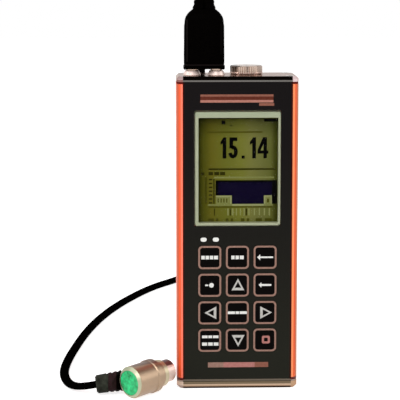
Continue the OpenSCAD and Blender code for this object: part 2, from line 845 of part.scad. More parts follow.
module plug_shell(x) {
    color([0.8, 0.76, 0.7]) translate([x, socket_y, 0]) {
        translate([0, 0, socket_top_z - nose_l]) cylinder(nose_l + plug_gap, d = nose_d);
        translate([0, 0, boot_z]) cylinder(shell_l, r = shell_r);
    }
}
module plug_shell_a() plug_shell(socket_a_x);
module plug_shell_b() plug_shell(socket_b_x);

// Slab of the boot at height z, grown sideways
module boot_slab(z, grow, h) {
    translate([boot_x, socket_y, z]) linear_extrude(h)
        rounded(boot_w + 2 * grow, boot_d + 2 * grow, boot_corner_r + grow, $fn = 32);
}

module plug_boot() {
    neck_d = 2 * (sleeve_r + boot_rim);
    color([0.03, 0.03, 0.03]) difference() {
        union() {
            hull() {
                boot_slab(boot_z, 0, skin_t);
                boot_slab(boot_z + boot_rim_h / 3, boot_rim, boot_rim_h / 3);
                boot_slab(boot_z + boot_rim_h - skin_t, 0, skin_t);
            }
            hull() {
                boot_slab(boot_z + boot_rim_h / 2, 0, skin_t);
                boot_slab(boot_top_z, -boot_draft, skin_t);
            }
            hull() {
                boot_slab(boot_top_z, -boot_draft, skin_t);
                boot_slab(boot_top_z + shoulder_h / 3, -boot_draft - shoulder_bulge, skin_t);
                translate([boot_x, socket_y, relief_z - skin_t]) linear_extrude(skin_t)
                    rounded(relief_d + 2 * boot_rim, neck_d, neck_d / 2 - boot_rim, $fn = 32);
            }
        }
        for (x = [socket_a_x, socket_b_x])
            translate([x, socket_y, boot_z - overrun])
                cylinder(shell_l + overrun + fit_gap, r = shell_r + run_gap / 2);
    }
}

// Cross-section of the two sleeves at a share of their length
module sleeves(share, grow, h) {
    r = sleeve_r + (sleeve_end_r - sleeve_r) * share + grow;
    x = sleeve_r + (sleeve_end_x - sleeve_r) * share;
    for (s = [-1, 1])
        translate([boot_x + s * x, socket_y, relief_z + share * relief_l]) cylinder(h, r = r, $fn = 32);
}

module plug_strain_relief() {
    color([0.03, 0.03, 0.03]) {
        for (s = [-1, 1]) hull() {
            translate([boot_x + s * sleeve_r, socket_y, relief_z]) cylinder(skin_t, r = sleeve_r, $fn = 32);
            translate([boot_x + s * sleeve_end_x, socket_y, relief_top_z - skin_t])
                cylinder(skin_t, r = sleeve_end_r, $fn = 32);
        }
        for (share = sleeve_rib_shares) sleeves(share, sleeve_rib, sleeve_rib_h);
    }
}

// Lead

function coil_point(t) =
    let(r = coil_r - coil_pitch * (coil_turns / 2 - abs(t - coil_turns / 2)),
        climb = min(max((t - coil_turns / 2) / climb_turns + 1 / 2, 0), 1),
        a = -90 + 360 * t)
    [coil_x + r * cos(a), coil_y + r * sin(a), lead_r + coil_pitch * climb];

coil_steps = coil_turns * coil_rings;
coil_route = concat(
    [coil_point(0) - [lead_d, 0, 0]],
    [for (i = [0 : coil_steps]) coil_point(i / coil_rings)],
    [coil_point(coil_turns) - [lead_d, 0, 0]]
);

// Least gap between turns of the coil, measured between its points
coil_gap = min([for (i = [0 : coil_steps - coil_rings / 2], j = [i + coil_rings / 2 : coil_steps])
    norm(coil_point(i / coil_rings) - coil_point(j / coil_rings))]) - lead_d;
echo(least_gap_between_turns_of_the_coil = coil_gap);

// Point of the lying probe, and a point on the axis of its cable boot
function laid(p) =
    [probe_x, probe_y, probe_z]
    + (p.x * cos(probe_rise) - p.z * sin(probe_rise)) * [cos(probe_turn), sin(probe_turn), 0]
    + p.y * [-sin(probe_turn), cos(probe_turn), 0]
    + (p.x * sin(probe_rise) + p.z * cos(probe_rise)) * [0, 0, 1];
function boot_axis_point(d) =
    laid([neck_at, 0, 0] + d * [-cos(neck_angle) * cos(neck_tilt), sin(neck_angle) * cos(neck_tilt), -sin(neck_tilt)]);
probe_end = neck_l + probe_boot_l;
floor_points = concat(floor_route, [boot_axis_point(probe_end + lead_d), boot_axis_point(probe_end)]);

function route_length(p) = len(p) < 2 ? 0 : norm(p[1] - p[0]) + route_length([for (i = [1 : len(p) - 1]) p[i]]);
echo(length_of_the_lead = route_length(drop_route) + route_length(back_route)
    + route_length(coil_route) + route_length(floor_points));

module lead(route, sides, first) color([0.03, 0.03, 0.03]) tube(route, lead_r, sides, first);
module lead_drop() lead(drop_route, lead_sides, [1, 0, 0]);
module lead_back() lead(back_route, lead_sides, [1, 0, 0]);
module lead_coil() lead(coil_route, coil_sides, [0, 0, 1]);
module lead_floor() lead(floor_points, lead_sides, [0, 0, 1]);

// Probe, drawn along +X from its back face and then laid in its place

module lay_probe() {
    translate([probe_x, probe_y, probe_z]) rotate([0, -probe_rise, probe_turn]) children();
}
module along_x() rotate([0, 90, 0]) children();
// The neck's frame: +X runs out of the housing along the cable boot
module at_neck() {
    translate([neck_at, 0, 0]) rotate([0, 0, 180 - neck_angle]) rotate([0, neck_tilt, 0]) children();
}

module probe_housing() {
    back_r = barrel_d / 2;
    grip_r = ring_d / 2;
    front_r = front_barrel_d / 2;
    end_r = tip_d / 2;
    ring_x = barrel_l;
    front_x = barrel_l + ring_l;
    tip_x = front_x + front_barrel_l;
    color([0.72, 0.64, 0.54]) lay_probe() difference() {
        union() {
            along_x() rotate_extrude() polygon([
                [0, 0], [back_r - back_bevel, 0], [back_r, back_bevel], [back_r, ring_x],
                [grip_r - ring_bevel, ring_x], [grip_r, ring_x + ring_bevel],
                [grip_r, front_x - ring_bevel], [grip_r - ring_bevel, front_x],
                [front_r, front_x], [front_r, tip_x - step_bevel], [front_r - step_bevel, tip_x],
                [end_r, tip_x], [end_r, probe_l - rim_bevel], [end_r - rim_bevel, probe_l], [0, probe_l]
            ]);
            at_neck() along_x() cylinder(neck_l, r = neck_r);
        }
        translate([-overrun, 0, 0]) along_x() cylinder(disc_depth + overrun, d = disc_d + 2 * fit_gap);
        translate([probe_l - line_l, 0, 0]) along_x() cylinder(line_l + overrun, r = line_r + run_gap);
    }
}

module probe_disc() {
    r = disc_d / 2;
    color([0.1, 0.72, 0.38]) lay_probe() along_x() translate([0, 0, disc_depth - disc_t]) rotate_extrude()
        polygon([[0, disc_dish], [r / 2, disc_dish], [r, 0], [r, disc_t], [0, disc_t]]);
}

// Two half-round delay lines in the tip, with a barrier between them
module probe_delay_lines() {
    color([0.85, 0.8, 0.75]) lay_probe() translate([probe_l - line_l, 0, 0]) difference() {
        along_x() cylinder(line_l + line_proud, r = line_r);
        cube([4 * line_l, barrier_t + run_gap, 4 * line_r], center = true);
    }
}
module probe_barrier() {
    half_w = sqrt(line_r * line_r - barrier_t * barrier_t);
    color([0.25, 0.2, 0.16]) lay_probe() translate([probe_l - line_l, -barrier_t / 2, -half_w])
        cube([line_l + line_proud, barrier_t, 2 * half_w]);
}

module probe_strain_relief() {
    start_r = probe_boot_d / 2;
    slope = (probe_boot_end_r - start_r) / probe_boot_l;
    color([0.04, 0.04, 0.04]) lay_probe() difference() {
        at_neck() along_x() translate([0, 0, neck_l]) rotate_extrude() polygon([
            [0, 0], [start_r, 0], [probe_boot_end_r, probe_boot_l - probe_boot_bevel],
            [probe_boot_end_r - probe_boot_bevel, probe_boot_l], [0, probe_boot_l]
        ]);
        translate([-probe_boot_l, 0, 0]) along_x()
            cylinder(probe_l + probe_boot_l, r = ring_d / 2 + fit_gap);
        for (share = probe_rib_shares) {
            z = share * probe_boot_l;
            at_neck() along_x() translate([0, 0, neck_l]) rotate_extrude()
                translate([start_r + slope * z - probe_rib, z]) square([2 * probe_rib, probe_rib_w]);
        }
    }
}

case_extrusion();
top_end_cap();
bottom_end_cap();
top_gasket();
bottom_gasket();
top_screws();
bottom_screws();
front_overlay();
keypad_circuit();
key_domes();
key(0);  // key_menu
key(1);  // key_clear
key(2);  // key_measure
key(3);  // key_accept
key(4);  // key_up
key(5);  // key_back
key(6);  // key_left
key(7);  // key_enter
key(8);  // key_right
key(9);  // key_mode
key(10);  // key_down
key(11);  // key_lamp
display_window();
display_bezel();
lcd_glass();
backlight();
display_carrier();
main_board();
board_chips();
pulser_shield();
beeper();
light_pipes();
keypad_tail();
battery_tube();
battery_cells();
battery_spring();
spring_contact();
battery_cap();
cap_o_ring();
cap_contact();
probe_socket_a();
probe_socket_b();
socket_nuts();
socket_leads();
plug_shell_a();
plug_shell_b();
plug_boot();
plug_strain_relief();
lead_drop();
lead_back();
lead_coil();
lead_floor();
probe_strain_relief();
probe_housing();
probe_disc();
probe_delay_lines();
probe_barrier();
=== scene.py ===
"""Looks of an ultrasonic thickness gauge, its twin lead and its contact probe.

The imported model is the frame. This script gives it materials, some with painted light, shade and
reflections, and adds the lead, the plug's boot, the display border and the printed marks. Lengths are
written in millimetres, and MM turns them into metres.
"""

import json
import math

import bmesh
import bpy
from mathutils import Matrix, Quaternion, Vector


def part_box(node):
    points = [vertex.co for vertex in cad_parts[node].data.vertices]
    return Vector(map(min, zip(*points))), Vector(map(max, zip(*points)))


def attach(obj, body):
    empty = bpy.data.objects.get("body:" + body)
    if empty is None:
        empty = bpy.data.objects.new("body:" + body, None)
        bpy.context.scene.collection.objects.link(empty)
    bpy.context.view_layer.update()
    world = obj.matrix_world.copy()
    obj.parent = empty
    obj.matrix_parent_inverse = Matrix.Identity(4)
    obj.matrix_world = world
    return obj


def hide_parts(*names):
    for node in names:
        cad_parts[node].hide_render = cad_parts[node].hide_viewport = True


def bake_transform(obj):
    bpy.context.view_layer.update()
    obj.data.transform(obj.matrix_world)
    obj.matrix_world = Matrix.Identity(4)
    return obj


MM = 0.001

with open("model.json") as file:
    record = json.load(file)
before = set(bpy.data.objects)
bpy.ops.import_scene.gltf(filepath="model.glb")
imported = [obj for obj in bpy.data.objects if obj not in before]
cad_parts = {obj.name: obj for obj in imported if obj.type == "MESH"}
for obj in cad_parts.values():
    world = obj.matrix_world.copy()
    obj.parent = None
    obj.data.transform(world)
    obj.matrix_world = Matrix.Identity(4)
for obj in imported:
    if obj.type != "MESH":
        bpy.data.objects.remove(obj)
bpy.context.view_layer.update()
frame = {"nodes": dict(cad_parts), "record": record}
NODES = frame["nodes"]

# Camera: it looks along +Y and a little down
CAMERA_PLACE = (-42.39, -765.75, 219.06)
CAMERA_PITCH = 6.5
CAMERA_TURN = 1.74
CAMERA_SHIFT = -0.1565
CAMERA_LENS = 131.3
CAMERA_SENSOR = 36.0
CAMERA_REACH = 20

# Stage: the floor, what it adds for the camera, and how strongly the world lights the object
FLOOR_REACH = 4000
FLOOR_GREY = (0.8, 0.8, 0.8)
FLOOR_GLOW = 0.72
WORLD_LIGHT = 0.5

# Case and front panel
CASE_HEIGHT = 165.1
PANEL_HALF = 28.4
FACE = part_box("front_overlay")[0].y / MM
KEY_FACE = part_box("key_menu")[0].y / MM
KEY_NAMES = (
    "key_menu", "key_clear", "key_measure",
    "key_accept", "key_up", "key_back",
    "key_left", "key_enter", "key_right",
    "key_mode", "key_down", "key_lamp",
)

# How far print stands out, and how many points a round corner has
INK_T = 0.03
CORNER_POINTS = 8

# Lead: two cores side by side in one jacket, which lies flat
LEAD_D = 4.2
LEAD_WIDTH = 5.0
CORE_RADIUS = 1.85
CORE_OFFSET = LEAD_WIDTH / 2 - CORE_RADIUS
LEAD_STEP = 1.5
LEAD_SECTORS = 28
SETTLE_BELOW = 5.0
SETTLE_OVER = 2.4
DROP_ROUTE = [
    (-17, 0, 215), (-17, 0, 220), (-17, 0.6, 228), (-17, 3.4, 236), (-17, 9.4, 243.6),
    (-17, 18, 248.8), (-17, 28.5, 250.6), (-17, 39, 248.8), (-17, 47.6, 243.6),
    (-17, 53.6, 236), (-17, 56.4, 227), (-17, 57, 216), (-17, 57, 204), (-17, 57, 192),
    (-17, 57, 180), (-17, 57, 168), (-17, 57, 156), (-17, 57, 144), (-17, 57, 132),
    (-17, 57, 120), (-17, 57, 108), (-17, 57, 96), (-17, 57, 84), (-17, 57, 72),
    (-17, 57, 60), (-17, 57, 48), (-17, 57, 40),
]
BACK_ROUTE = [
    (-17, 57, 32), (-17, 59.4, 21), (-17, 65.6, 11.4), (-17, 74.4, 5.2),
    (-17, 85, 2.6), (-17, 96, 2.1), (-17, 108, 2.1), (-17, 120, 2.1), (-17, 132, 2.1),
    (-17, 144, 2.1), (-17, 156, 2.1), (-17, 168, 2.1), (-17, 180, 2.1), (-16.2, 190, 2.1),
    (-13.4, 198.6, 2.1), (-8.6, 205, 2.1), (-4.4, 207.2, 2.1), (-0.2, 208, 2.1), (4, 208, 2.1),
]
COIL_CENTRE = (4, 235.5)
COIL_RADIUS = 27.5
COIL_PITCH = 4.7
COIL_TURNS = 2.5
COIL_CLIMB = 0.5
COIL_RINGS = 24
FLOOR_ROUTE = [
    (-0.2, 263, 6.8), (-5, 263, 6.8), (-12.6, 261.8, 5.6), (-20, 258.2, 3.6), (-26.6, 252, 2.4),
    (-32.4, 244.2, 2.1), (-38, 236.2, 2.1), (-42.8, 228.7, 2.1), (-48.6, 218, 2.1),
    (-54.1, 206.3, 2.1), (-59, 194.5, 2.1), (-63.6, 182.8, 2.1), (-67.7, 171, 2.1),
    (-71.5, 159.2, 2.1), (-74.8, 147.4, 2.1), (-77.8, 135.6, 2.1), (-80.4, 123.8, 2.1),
    (-82.7, 112, 2.1), (-84.7, 100.2, 2.1), (-86.5, 88.3, 2.1), (-88, 76.5, 2.1),
    (-89.4, 64.6, 2.1), (-90.7, 52.8, 2.1), (-91.8, 40.9, 2.1), (-92.6, 29.1, 2.1),
    (-92.9, 18.2, 2.1), (-92.5, 8.2, 2.1), (-91.1, -1.7, 2.1), (-88.8, -10.7, 2.3),
    (-85.6, -18.2, 3.1), (-82.2, -22.8, 4),
]

# Probe: its back face, the way it points and its cable boot
PROBE_TURN = 45.3
PROBE_RISE = 2.0
PROBE_BACK = Vector((-56.6, -32.8, 8.306))
NECK_AT = 14.55
NECK_ANGLE = 40.0
NECK_TILT = 5.3
NECK_L = 14.0
PROBE_BOOT_L = 14.0


# Small helpers

def m(values):
    """A point or list of numbers in millimetres, as metres."""
    return Vector(values) * MM


def new_mesh(name, verts, faces, smooth=True):
    """An object from points in millimetres and faces."""
    mesh = bpy.data.meshes.new(name)
    mesh.from_pydata([tuple(c * MM for c in v) for v in verts], [], faces)
    mesh.update()
    for poly in mesh.polygons:
        poly.use_smooth = smooth
    obj = bpy.data.objects.new(name, mesh)
    bpy.context.scene.collection.objects.link(obj)
    return obj


def fix_normals(obj):
    """Turns every face of a closed mesh outwards."""
    work = bmesh.new()
    work.from_mesh(obj.data)
    bmesh.ops.recalc_face_normals(work, faces=work.faces)
    work.to_mesh(obj.data)
    work.free()
    return obj


def loft(name, rings, loop=False, smooth=True):
    """Skin over rings with as many points each. Its two ends are filled, or joined if it is a loop."""
    count = len(rings[0])
    verts = [p for ring in rings for p in ring]
    faces = []
    for i in range(len(rings) if loop else len(rings) - 1):
        here = i * count
        there = (i + 1) % len(rings) * count
        for k in range(count):
            n = (k + 1) % count
            faces.append((here + k, here + n, there + n, there + k))
    if not loop:
        faces.append(tuple(reversed(range(count))))
        faces.append(tuple(range(len(verts) - count, len(verts))))
    return fix_normals(new_mesh(name, verts, faces, smooth))


def add_piece(obj, body, material, replaces=()):
    """Gives a piece its material, lets it move with a body and hides the nodes it replaces."""
    obj.data.materials.clear()
    obj.data.materials.append(material)
    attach(obj, body)
    if replaces:
        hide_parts(*replaces)
    return obj


# Materials

def node(mat, kind, **settings):
    """A new node in a material or world, with its settings and input values."""
    made = mat.node_tree.nodes.new(kind)
    for key, value in settings.items():
        name = key.replace("_", " ")
        if name in made.inputs:
            made.inputs[name].default_value = value
        else:
            setattr(made, key, value)
    return made


def link(mat, source, target):
    mat.node_tree.links.new(source, target)


def object_coords(mat):
    return node(mat, "ShaderNodeTexCoord").outputs["Object"]


def axes(mat, vector):
    """The X, Y and Z of a vector."""
    parts = node(mat, "ShaderNodeSeparateXYZ")
    link(mat, vector, parts.inputs["Vector"])
    return parts.outputs


def maths(mat, operation, first, second):
    """Result of a Math node on a socket and a further socket or number."""
    made = node(mat, "ShaderNodeMath", operation=operation)
    link(mat, first, made.inputs[0])
    if isinstance(second, float):
        made.inputs[1].default_value = second
    else:
        link(mat, second, made.inputs[1])
    return made.outputs[0]


def map_range(mat, value, start, end, low=0.0, high=1.0):
    """A number that runs from low to high while the value runs from start to end."""
    made = node(mat, "ShaderNodeMapRange", From_Min=start, From_Max=end, To_Min=low, To_Max=high)
    link(mat, value, made.inputs["Value"])
    return made.outputs["Result"]


def ramp(mat, factor, stops):
    """A colour that follows the factor through the given places and colours."""
    made = node(mat, "ShaderNodeValToRGB")
    elements = made.color_ramp.elements
    elements.remove(elements[0])
    for i, (place, colour) in enumerate(stops):
        stop = elements[0] if i == 0 else elements.new(place)
        stop.position = place
        stop.color = (*colour, 1)
    link(mat, factor, made.inputs["Fac"])
    return made.outputs["Color"]


def principled(mat):
    return mat.node_tree.nodes["Principled BSDF"]


def shader(name, colour, roughness, metallic=0.0, **sockets):
    """A node material with one Principled shader. Further sockets are given by name."""
    mat = bpy.data.materials.new(name)
    mat.use_nodes = True
    bsdf = principled(mat)
    bsdf.inputs["Base Color"].default_value = (*colour, 1)
    bsdf.inputs["Roughness"].default_value = roughness
    bsdf.inputs["Metallic"].default_value = metallic
    for key, value in sockets.items():
        bsdf.inputs[key.replace("_", " ")].default_value = value
    return mat


GRAIN_LOW = 0.3
GRAIN_HIGH = 0.7


def finish_of(name, low, high, roughness, metallic=0.0, scale=900.0, depth=0.01, **sockets):
    """A finish whose colour, roughness and height follow one fine noise.

    The scale is in cells per metre and the depth of the bumps in millimetres.
    """
    mat = shader(name, high, sum(roughness) / 2, metallic, **sockets)
    bsdf = principled(mat)
    noise = node(mat, "ShaderNodeTexNoise", Scale=scale, Detail=4.0, Roughness=0.55)
    link(mat, object_coords(mat), noise.inputs["Vector"])
    grain = noise.outputs["Fac"]
    link(mat, ramp(mat, grain, [(GRAIN_LOW, low), (GRAIN_HIGH, high)]), bsdf.inputs["Base Color"])
    link(mat, map_range(mat, grain, GRAIN_LOW, GRAIN_HIGH, *roughness), bsdf.inputs["Roughness"])
    if depth:
        bumps = node(mat, "ShaderNodeBump", Strength=1.0, Distance=depth * MM)
        link(mat, grain, bumps.inputs["Height"])
        link(mat, bumps.outputs["Normal"], bsdf.inputs["Normal"])
    return mat


def panel_ink(name, low, high, **sockets):
    """Ink printed on the front panel or on a key."""
    return finish_of(name, low, high, (0.4, 0.5), depth=0.004, **sockets)


def display_ink(name, low, high):
    """A mark on the display."""
    return finish_of(name, low, high, (0.25, 0.35), depth=0, **MATT)


def scaled(colour, factor):
    return tuple(c * factor for c in colour)


def mixed(mat, factor, first, second):
    """Makes the base colour a mix of two, each a socket or a colour."""
    mix = node(mat, "ShaderNodeMix", data_type="RGBA")
    link(mat, factor, mix.inputs[0])
    for socket, colour in ((mix.inputs[6], first), (mix.inputs[7], second)):
        if isinstance(colour, tuple):
            socket.default_value = (*colour, 1)
        else:
            link(mat, colour, socket)
    link(mat, mix.outputs[2], principled(mat).inputs["Base Color"])


def base_colour(mat):
    """What the base colour follows so far."""
    return principled(mat).inputs["Base Color"].links[0].from_socket


def patched(mat, patches, turn=0.0):
    """Gives the base colour another value inside each of some boxes.

    A patch is a box's lower corner, its upper corner and its colour, in the object's space turned about Z.
    """
    turned = node(mat, "ShaderNodeMapping", Rotation=(0, 0, math.radians(-turn)))
    link(mat, object_coords(mat), turned.inputs["Vector"])
    places = axes(mat, turned.outputs["Vector"])
    for low, high, colour in patches:
        tests = []
        for place, a, b in zip(places, low, high):
            tests.append(maths(mat, "GREATER_THAN", place, a * MM))
            tests.append(maths(mat, "LESS_THAN", place, b * MM))
        inside = tests[0]
        for test in tests[1:]:
            inside = maths(mat, "MULTIPLY", inside, test)
        mixed(mat, inside, base_colour(mat), colour)
    return mat


def graded(mat, z_low, z_high, low):
    """The base colour runs from the low colour at the lower height to its own at the upper one."""
    height = map_range(mat, axes(mat, object_coords(mat))["Z"], z_low * MM, z_high * MM)
    mixed(mat, height, low, base_colour(mat))
    return mat


NICKEL = (0.5, 0.38, 0.3)
PROBE_NICKEL = (0.35, 0.25, 0.17)
PAINT = (0.81, 0.09, 0.018)
BLACK = (0.002, 0.0015, 0.001)
MATT = {"Specular_IOR_Level": 0.02}
FILM = {"Specular_IOR_Level": 0.05}
EDGE_TINT = (0.72, 0.6, 0.55, 1)

MATERIALS = {
    "painted_case": finish_of(
        "orange paint", scaled(PAINT, 0.94), PAINT, (0.34, 0.46), scale=1800, depth=0.006,
        Specular_IOR_Level=0.3),
    "nickel": finish_of("polished nickel", scaled(NICKEL, 0.92), NICKEL, (0.14, 0.22), 1.0, 900, 0.002),
    "steel": finish_of(
        "bright steel", (0.36, 0.33, 0.3), (0.46, 0.42, 0.38), (0.2, 0.34), 1.0, 1200, 0.004),
    "black_rubber": finish_of(
        "black rubber", (0.0004, 0.0003, 0.0003), (0.0014, 0.001, 0.0008), (0.3, 0.42), scale=1500,
        depth=0.012, Specular_IOR_Level=0.002),
    "overlay_film": finish_of(
        "black overlay film", (0.003, 0.002, 0.0022), (0.0065, 0.005, 0.0052), (0.45, 0.6), scale=4200,
        depth=0.01, **FILM),
    "circuit_film": finish_of(
        "circuit film", (0.02, 0.02, 0.018), (0.03, 0.03, 0.027), (0.5, 0.65), **MATT),
    "key_film": finish_of(
        "black key film", (0.001, 0.0008, 0.0008), (0.003, 0.0022, 0.002), (0.42, 0.55), scale=3500,
        depth=0.008, **MATT),
    "spring_metal": finish_of("spring metal", (0.6, 0.58, 0.5), (0.72, 0.7, 0.62), (0.2, 0.3), 1.0),
    "pale_plastic": finish_of(
        "pale grey bezel", (0.41, 0.42, 0.3), (0.46, 0.47, 0.35), (0.4, 0.5), scale=1500, depth=0.006),
    "white_plastic": finish_of("white plastic", (0.74, 0.74, 0.7), (0.82, 0.82, 0.78), (0.35, 0.5)),
    "black_plastic": finish_of(
        "black plastic", (0.02, 0.02, 0.02), (0.035, 0.035, 0.035), (0.4, 0.55), **MATT),
    "board": finish_of("solder mask", (0.02, 0.11, 0.04), (0.03, 0.16, 0.06), (0.25, 0.35)),
    "tin": finish_of("tinned sheet", (0.6, 0.6, 0.58), (0.7, 0.7, 0.68), (0.25, 0.4), 1.0),
    "cell_can": finish_of("cell wrapper", (0.03, 0.05, 0.2), (0.05, 0.07, 0.28), (0.25, 0.35)),
    "brass_sheet": finish_of("brass sheet", (0.7, 0.55, 0.28), (0.8, 0.65, 0.35), (0.2, 0.3), 1.0),
    "wire": finish_of("wire insulation", (0.3, 0.02, 0.015), (0.4, 0.03, 0.02), (0.4, 0.5)),
    "lead_jacket": finish_of(
        "lead jacket", (0.0004, 0.0003, 0.0003), (0.0016, 0.0012, 0.001), (0.2, 0.3), scale=1200,
        depth=0.01, Specular_IOR_Level=0.0),
    "probe_nickel": finish_of(
        "turned nickel", scaled(PROBE_NICKEL, 0.93), PROBE_NICKEL, (0.36, 0.46), 1.0, 1600, 0.002),
    "green_plastic": finish_of(
        "green disc", (0.003, 0.2, 0.05), (0.03, 0.7, 0.25), (0.25, 0.4), scale=360, depth=0.03,
        Specular_IOR_Level=0.3),
    "delay_plastic": finish_of(
        "delay line", (0.6, 0.52, 0.5), (0.75, 0.68, 0.66), (0.15, 0.3), 0.0, 900, 0.004),
    "barrier": finish_of("barrier", (0.03, 0.02, 0.015), (0.06, 0.045, 0.035), (0.7, 0.85), **MATT),
    "lcd": finish_of("display", (0.17, 0.16, 0.016), (0.2, 0.2, 0.04), (0.22, 0.3), depth=0, **MATT),
}

TAN_INK = panel_ink("tan ink", (0.26, 0.15, 0.115), (0.34, 0.2, 0.16), **MATT)
WHITE_INK = panel_ink("white ink", (0.66, 0.66, 0.62), (0.8, 0.79, 0.76))
SIGN_INK = panel_ink("grey sign ink", (0.4, 0.39, 0.36), (0.52, 0.5, 0.47))
ORANGE_INK = panel_ink("orange ink", (0.36, 0.15, 0.11), (0.44, 0.19, 0.15), **MATT)
ROSE_INK = panel_ink("rose ink", (0.38, 0.15, 0.13), (0.46, 0.2, 0.18), **MATT)
DIM_INK = panel_ink("dim orange ink", (0.22, 0.085, 0.06), (0.28, 0.11, 0.075), **MATT)
BROWN_INK = panel_ink("brown ink", (0.09, 0.02, 0.012), (0.12, 0.03, 0.018), **MATT)

LCD_BLACK = display_ink("display black", (0.0004, 0.0004, 0.0004), (0.0014, 0.001, 0.0008))
LCD_DARK = display_ink("display dark line", (0.022, 0.02, 0.002), (0.034, 0.03, 0.003))
LCD_NAVY = display_ink("display navy", (0.0018, 0.0008, 0.01), (0.0045, 0.002, 0.022))
LCD_PALE = display_ink("display pale", (0.28, 0.285, 0.13), (0.34, 0.34, 0.17))
LCD_LIGHT = display_ink("display light line", (0.23, 0.23, 0.08), (0.27, 0.27, 0.11))
LCD_MID = display_ink("display mid line", (0.18, 0.185, 0.055), (0.22, 0.225, 0.08))
LCD_SHADE = display_ink("display shade", (0.05, 0.045, 0.003), (0.066, 0.06, 0.005))

SEAL = finish_of("dark red seal", (0.08, 0.006, 0.004), (0.115, 0.01, 0.007), (0.5, 0.65), **MATT)
SOCKET = finish_of("socket flange", (0.78, 0.62, 0.57), (0.86, 0.69, 0.62), (0.3, 0.45), 0.4, 900, 0.004)


def lens_material():
    """Clear window: straight through, with a faint gloss at its front."""
    mat = bpy.data.materials.new("clear window")
    mat.use_nodes = True
    tree = mat.node_tree
    tree.nodes.remove(principled(mat))
    out = tree.nodes["Material Output"]
    clear = node(mat, "ShaderNodeBsdfTransparent", Color=(0.97, 0.98, 0.95, 1))
    gloss = node(mat, "ShaderNodeBsdfGlossy", Roughness=0.08)
    fresnel = node(mat, "ShaderNodeFresnel", IOR=1.04)
    mix = node(mat, "ShaderNodeMixShader")
    link(mat, fresnel.outputs["Fac"], mix.inputs[0])
    link(mat, clear.outputs["BSDF"], mix.inputs[1])
    link(mat, gloss.outputs["BSDF"], mix.inputs[2])
    link(mat, mix.outputs["Shader"], out.inputs["Surface"])
    return mat


MATERIALS["clear_lens"] = lens_material()


# Display glass: its colours from left to right, with painted shade at both ends,
# and how dark painted shade makes it towards its top
LCD_HALF = 20
LCD_STOPS = (
    (0.0, (0.03, 0.029, 0.002)), (0.05, (0.073, 0.07, 0.006)), (0.16, (0.124, 0.108, 0.012)),
    (0.36, (0.135, 0.134, 0.02)), (0.56, (0.168, 0.166, 0.031)), (0.68, (0.173, 0.167, 0.047)),
    (0.81, (0.145, 0.144, 0.043)), (0.93, (0.122, 0.126, 0.032)), (1.0, (0.045, 0.047, 0.006)),
)
LCD_SHADE_FROM = 132
LCD_SHADE_TO = 143
LCD_TOP_SHADE = 0.43


def shade_display(mat):
    """The display is painted darker towards its sides and its top, as painted shade from its border."""
    places = axes(mat, object_coords(mat))
    across = map_range(mat, places["X"], -LCD_HALF * MM, LCD_HALF * MM)
    down = map_range(mat, places["Z"], LCD_SHADE_FROM * MM, LCD_SHADE_TO * MM, 1.0, LCD_TOP_SHADE)
    shade = node(mat, "ShaderNodeVectorMath", operation="SCALE")
    link(mat, ramp(mat, across, LCD_STOPS), shade.inputs[0])
    link(mat, down, shade.inputs["Scale"])
    link(mat, shade.outputs["Vector"], principled(mat).inputs["Base Color"])


# Patches of other colours, most of them painted light, shade and reflections. A box reaches past the object
# wherever its end doesn't matter.
SIDE = 40
FRONT = -20
BACK = 20
LOW = -10
HIGH = 300
CAP_TOP = CASE_HEIGHT + 1
CAP_FRONT = -14.2
RAIL_FRONT = -12.0
RAIL_INNER = 29.6
RAIL_OUTER = 30.6
PANEL_SHADE = 27.8
RAIL_SHINE_RED = (0.035, 0.002, 0.001)

# The front panel's film is painted lighter at the lower height than from the upper one on, as painted light
OVERLAY_GRADE = (20, 130)
OVERLAY_LIT_LOW = (0.0135, 0.0135, 0.0095)


def cap_band(z0, z1, colour):
    """A patch between two heights along the middle of a cap's front."""
    return (-PANEL_HALF, FRONT, z0), (PANEL_HALF, CAP_FRONT, z1), colour


# Painted light on the top cap: its front painted black as a dark reflection, a painted highlight line under
# it, the top face painted darker, and painted reflections and shade on the corners over the rails
TOP_CAP_PATCHES = [
    cap_band(163.15, CAP_TOP, BLACK),
    cap_band(162.2, 163.15, (0.145, 0.135, 0.125)),
    ((-SIDE, CAP_FRONT, CASE_HEIGHT - 0.2), (SIDE, BACK, CAP_TOP), (0.21, 0.135, 0.1)),
    ((-SIDE, FRONT, 162), (-PANEL_HALF, RAIL_FRONT, 163.4), (0.26, 0.12, 0.11)),
    ((-SIDE, FRONT, 163.4), (-PANEL_HALF, RAIL_FRONT, CAP_TOP), (0.44, 0.32, 0.31)),
    ((PANEL_HALF, FRONT, 162), (SIDE, RAIL_FRONT, CAP_TOP), (0.68, 0.53, 0.53)),
]

# Painted light on the bottom cap's front, from the floor up: a dark painted reflection at its foot, two
# painted bright bands and a painted shaded band; and painted reflections on the two corners
BOTTOM_CAP_PATCHES = [
    cap_band(LOW, 1.25, (0.012, 0.006, 0.002)),
    cap_band(1.25, 1.8, (0.3, 0.2, 0.13)),
    cap_band(1.8, 2.45, (0.44, 0.31, 0.22)),
    cap_band(2.45, 4.1, (0.135, 0.1, 0.062)),
    ((-SIDE, FRONT, LOW), (-PANEL_HALF, BACK, 1.8), (0.28, 0.22, 0.19)),
    ((PANEL_HALF, FRONT, LOW), (SIDE, BACK, 4), (0.36, 0.23, 0.14)),
]

# The lower edge of the seal is pale, where the cap shines on it
GASKET_PATCHES = [((-SIDE, FRONT, LOW), (SIDE, BACK, 4.5), (0.4, 0.31, 0.26))]

# Painted light on the battery cap: a painted dark reflection of the boot on the side that faces it, two
# painted highlights and a painted lighter foot
BATTERY_CAP_PATCHES = [
    ((-SIDE, FRONT, LOW), (0.6, BACK, HIGH), (0.12, 0.083, 0.064)),
    ((0.9, FRONT, LOW), (4.8, BACK, HIGH), (0.52, 0.4, 0.33)),
    ((6.4, FRONT, LOW), (10.6, BACK, HIGH), (0.52, 0.4, 0.33)),
    ((-SIDE, FRONT, LOW), (SIDE, BACK, CASE_HEIGHT + 1.3), (0.6, 0.46, 0.4)),
]
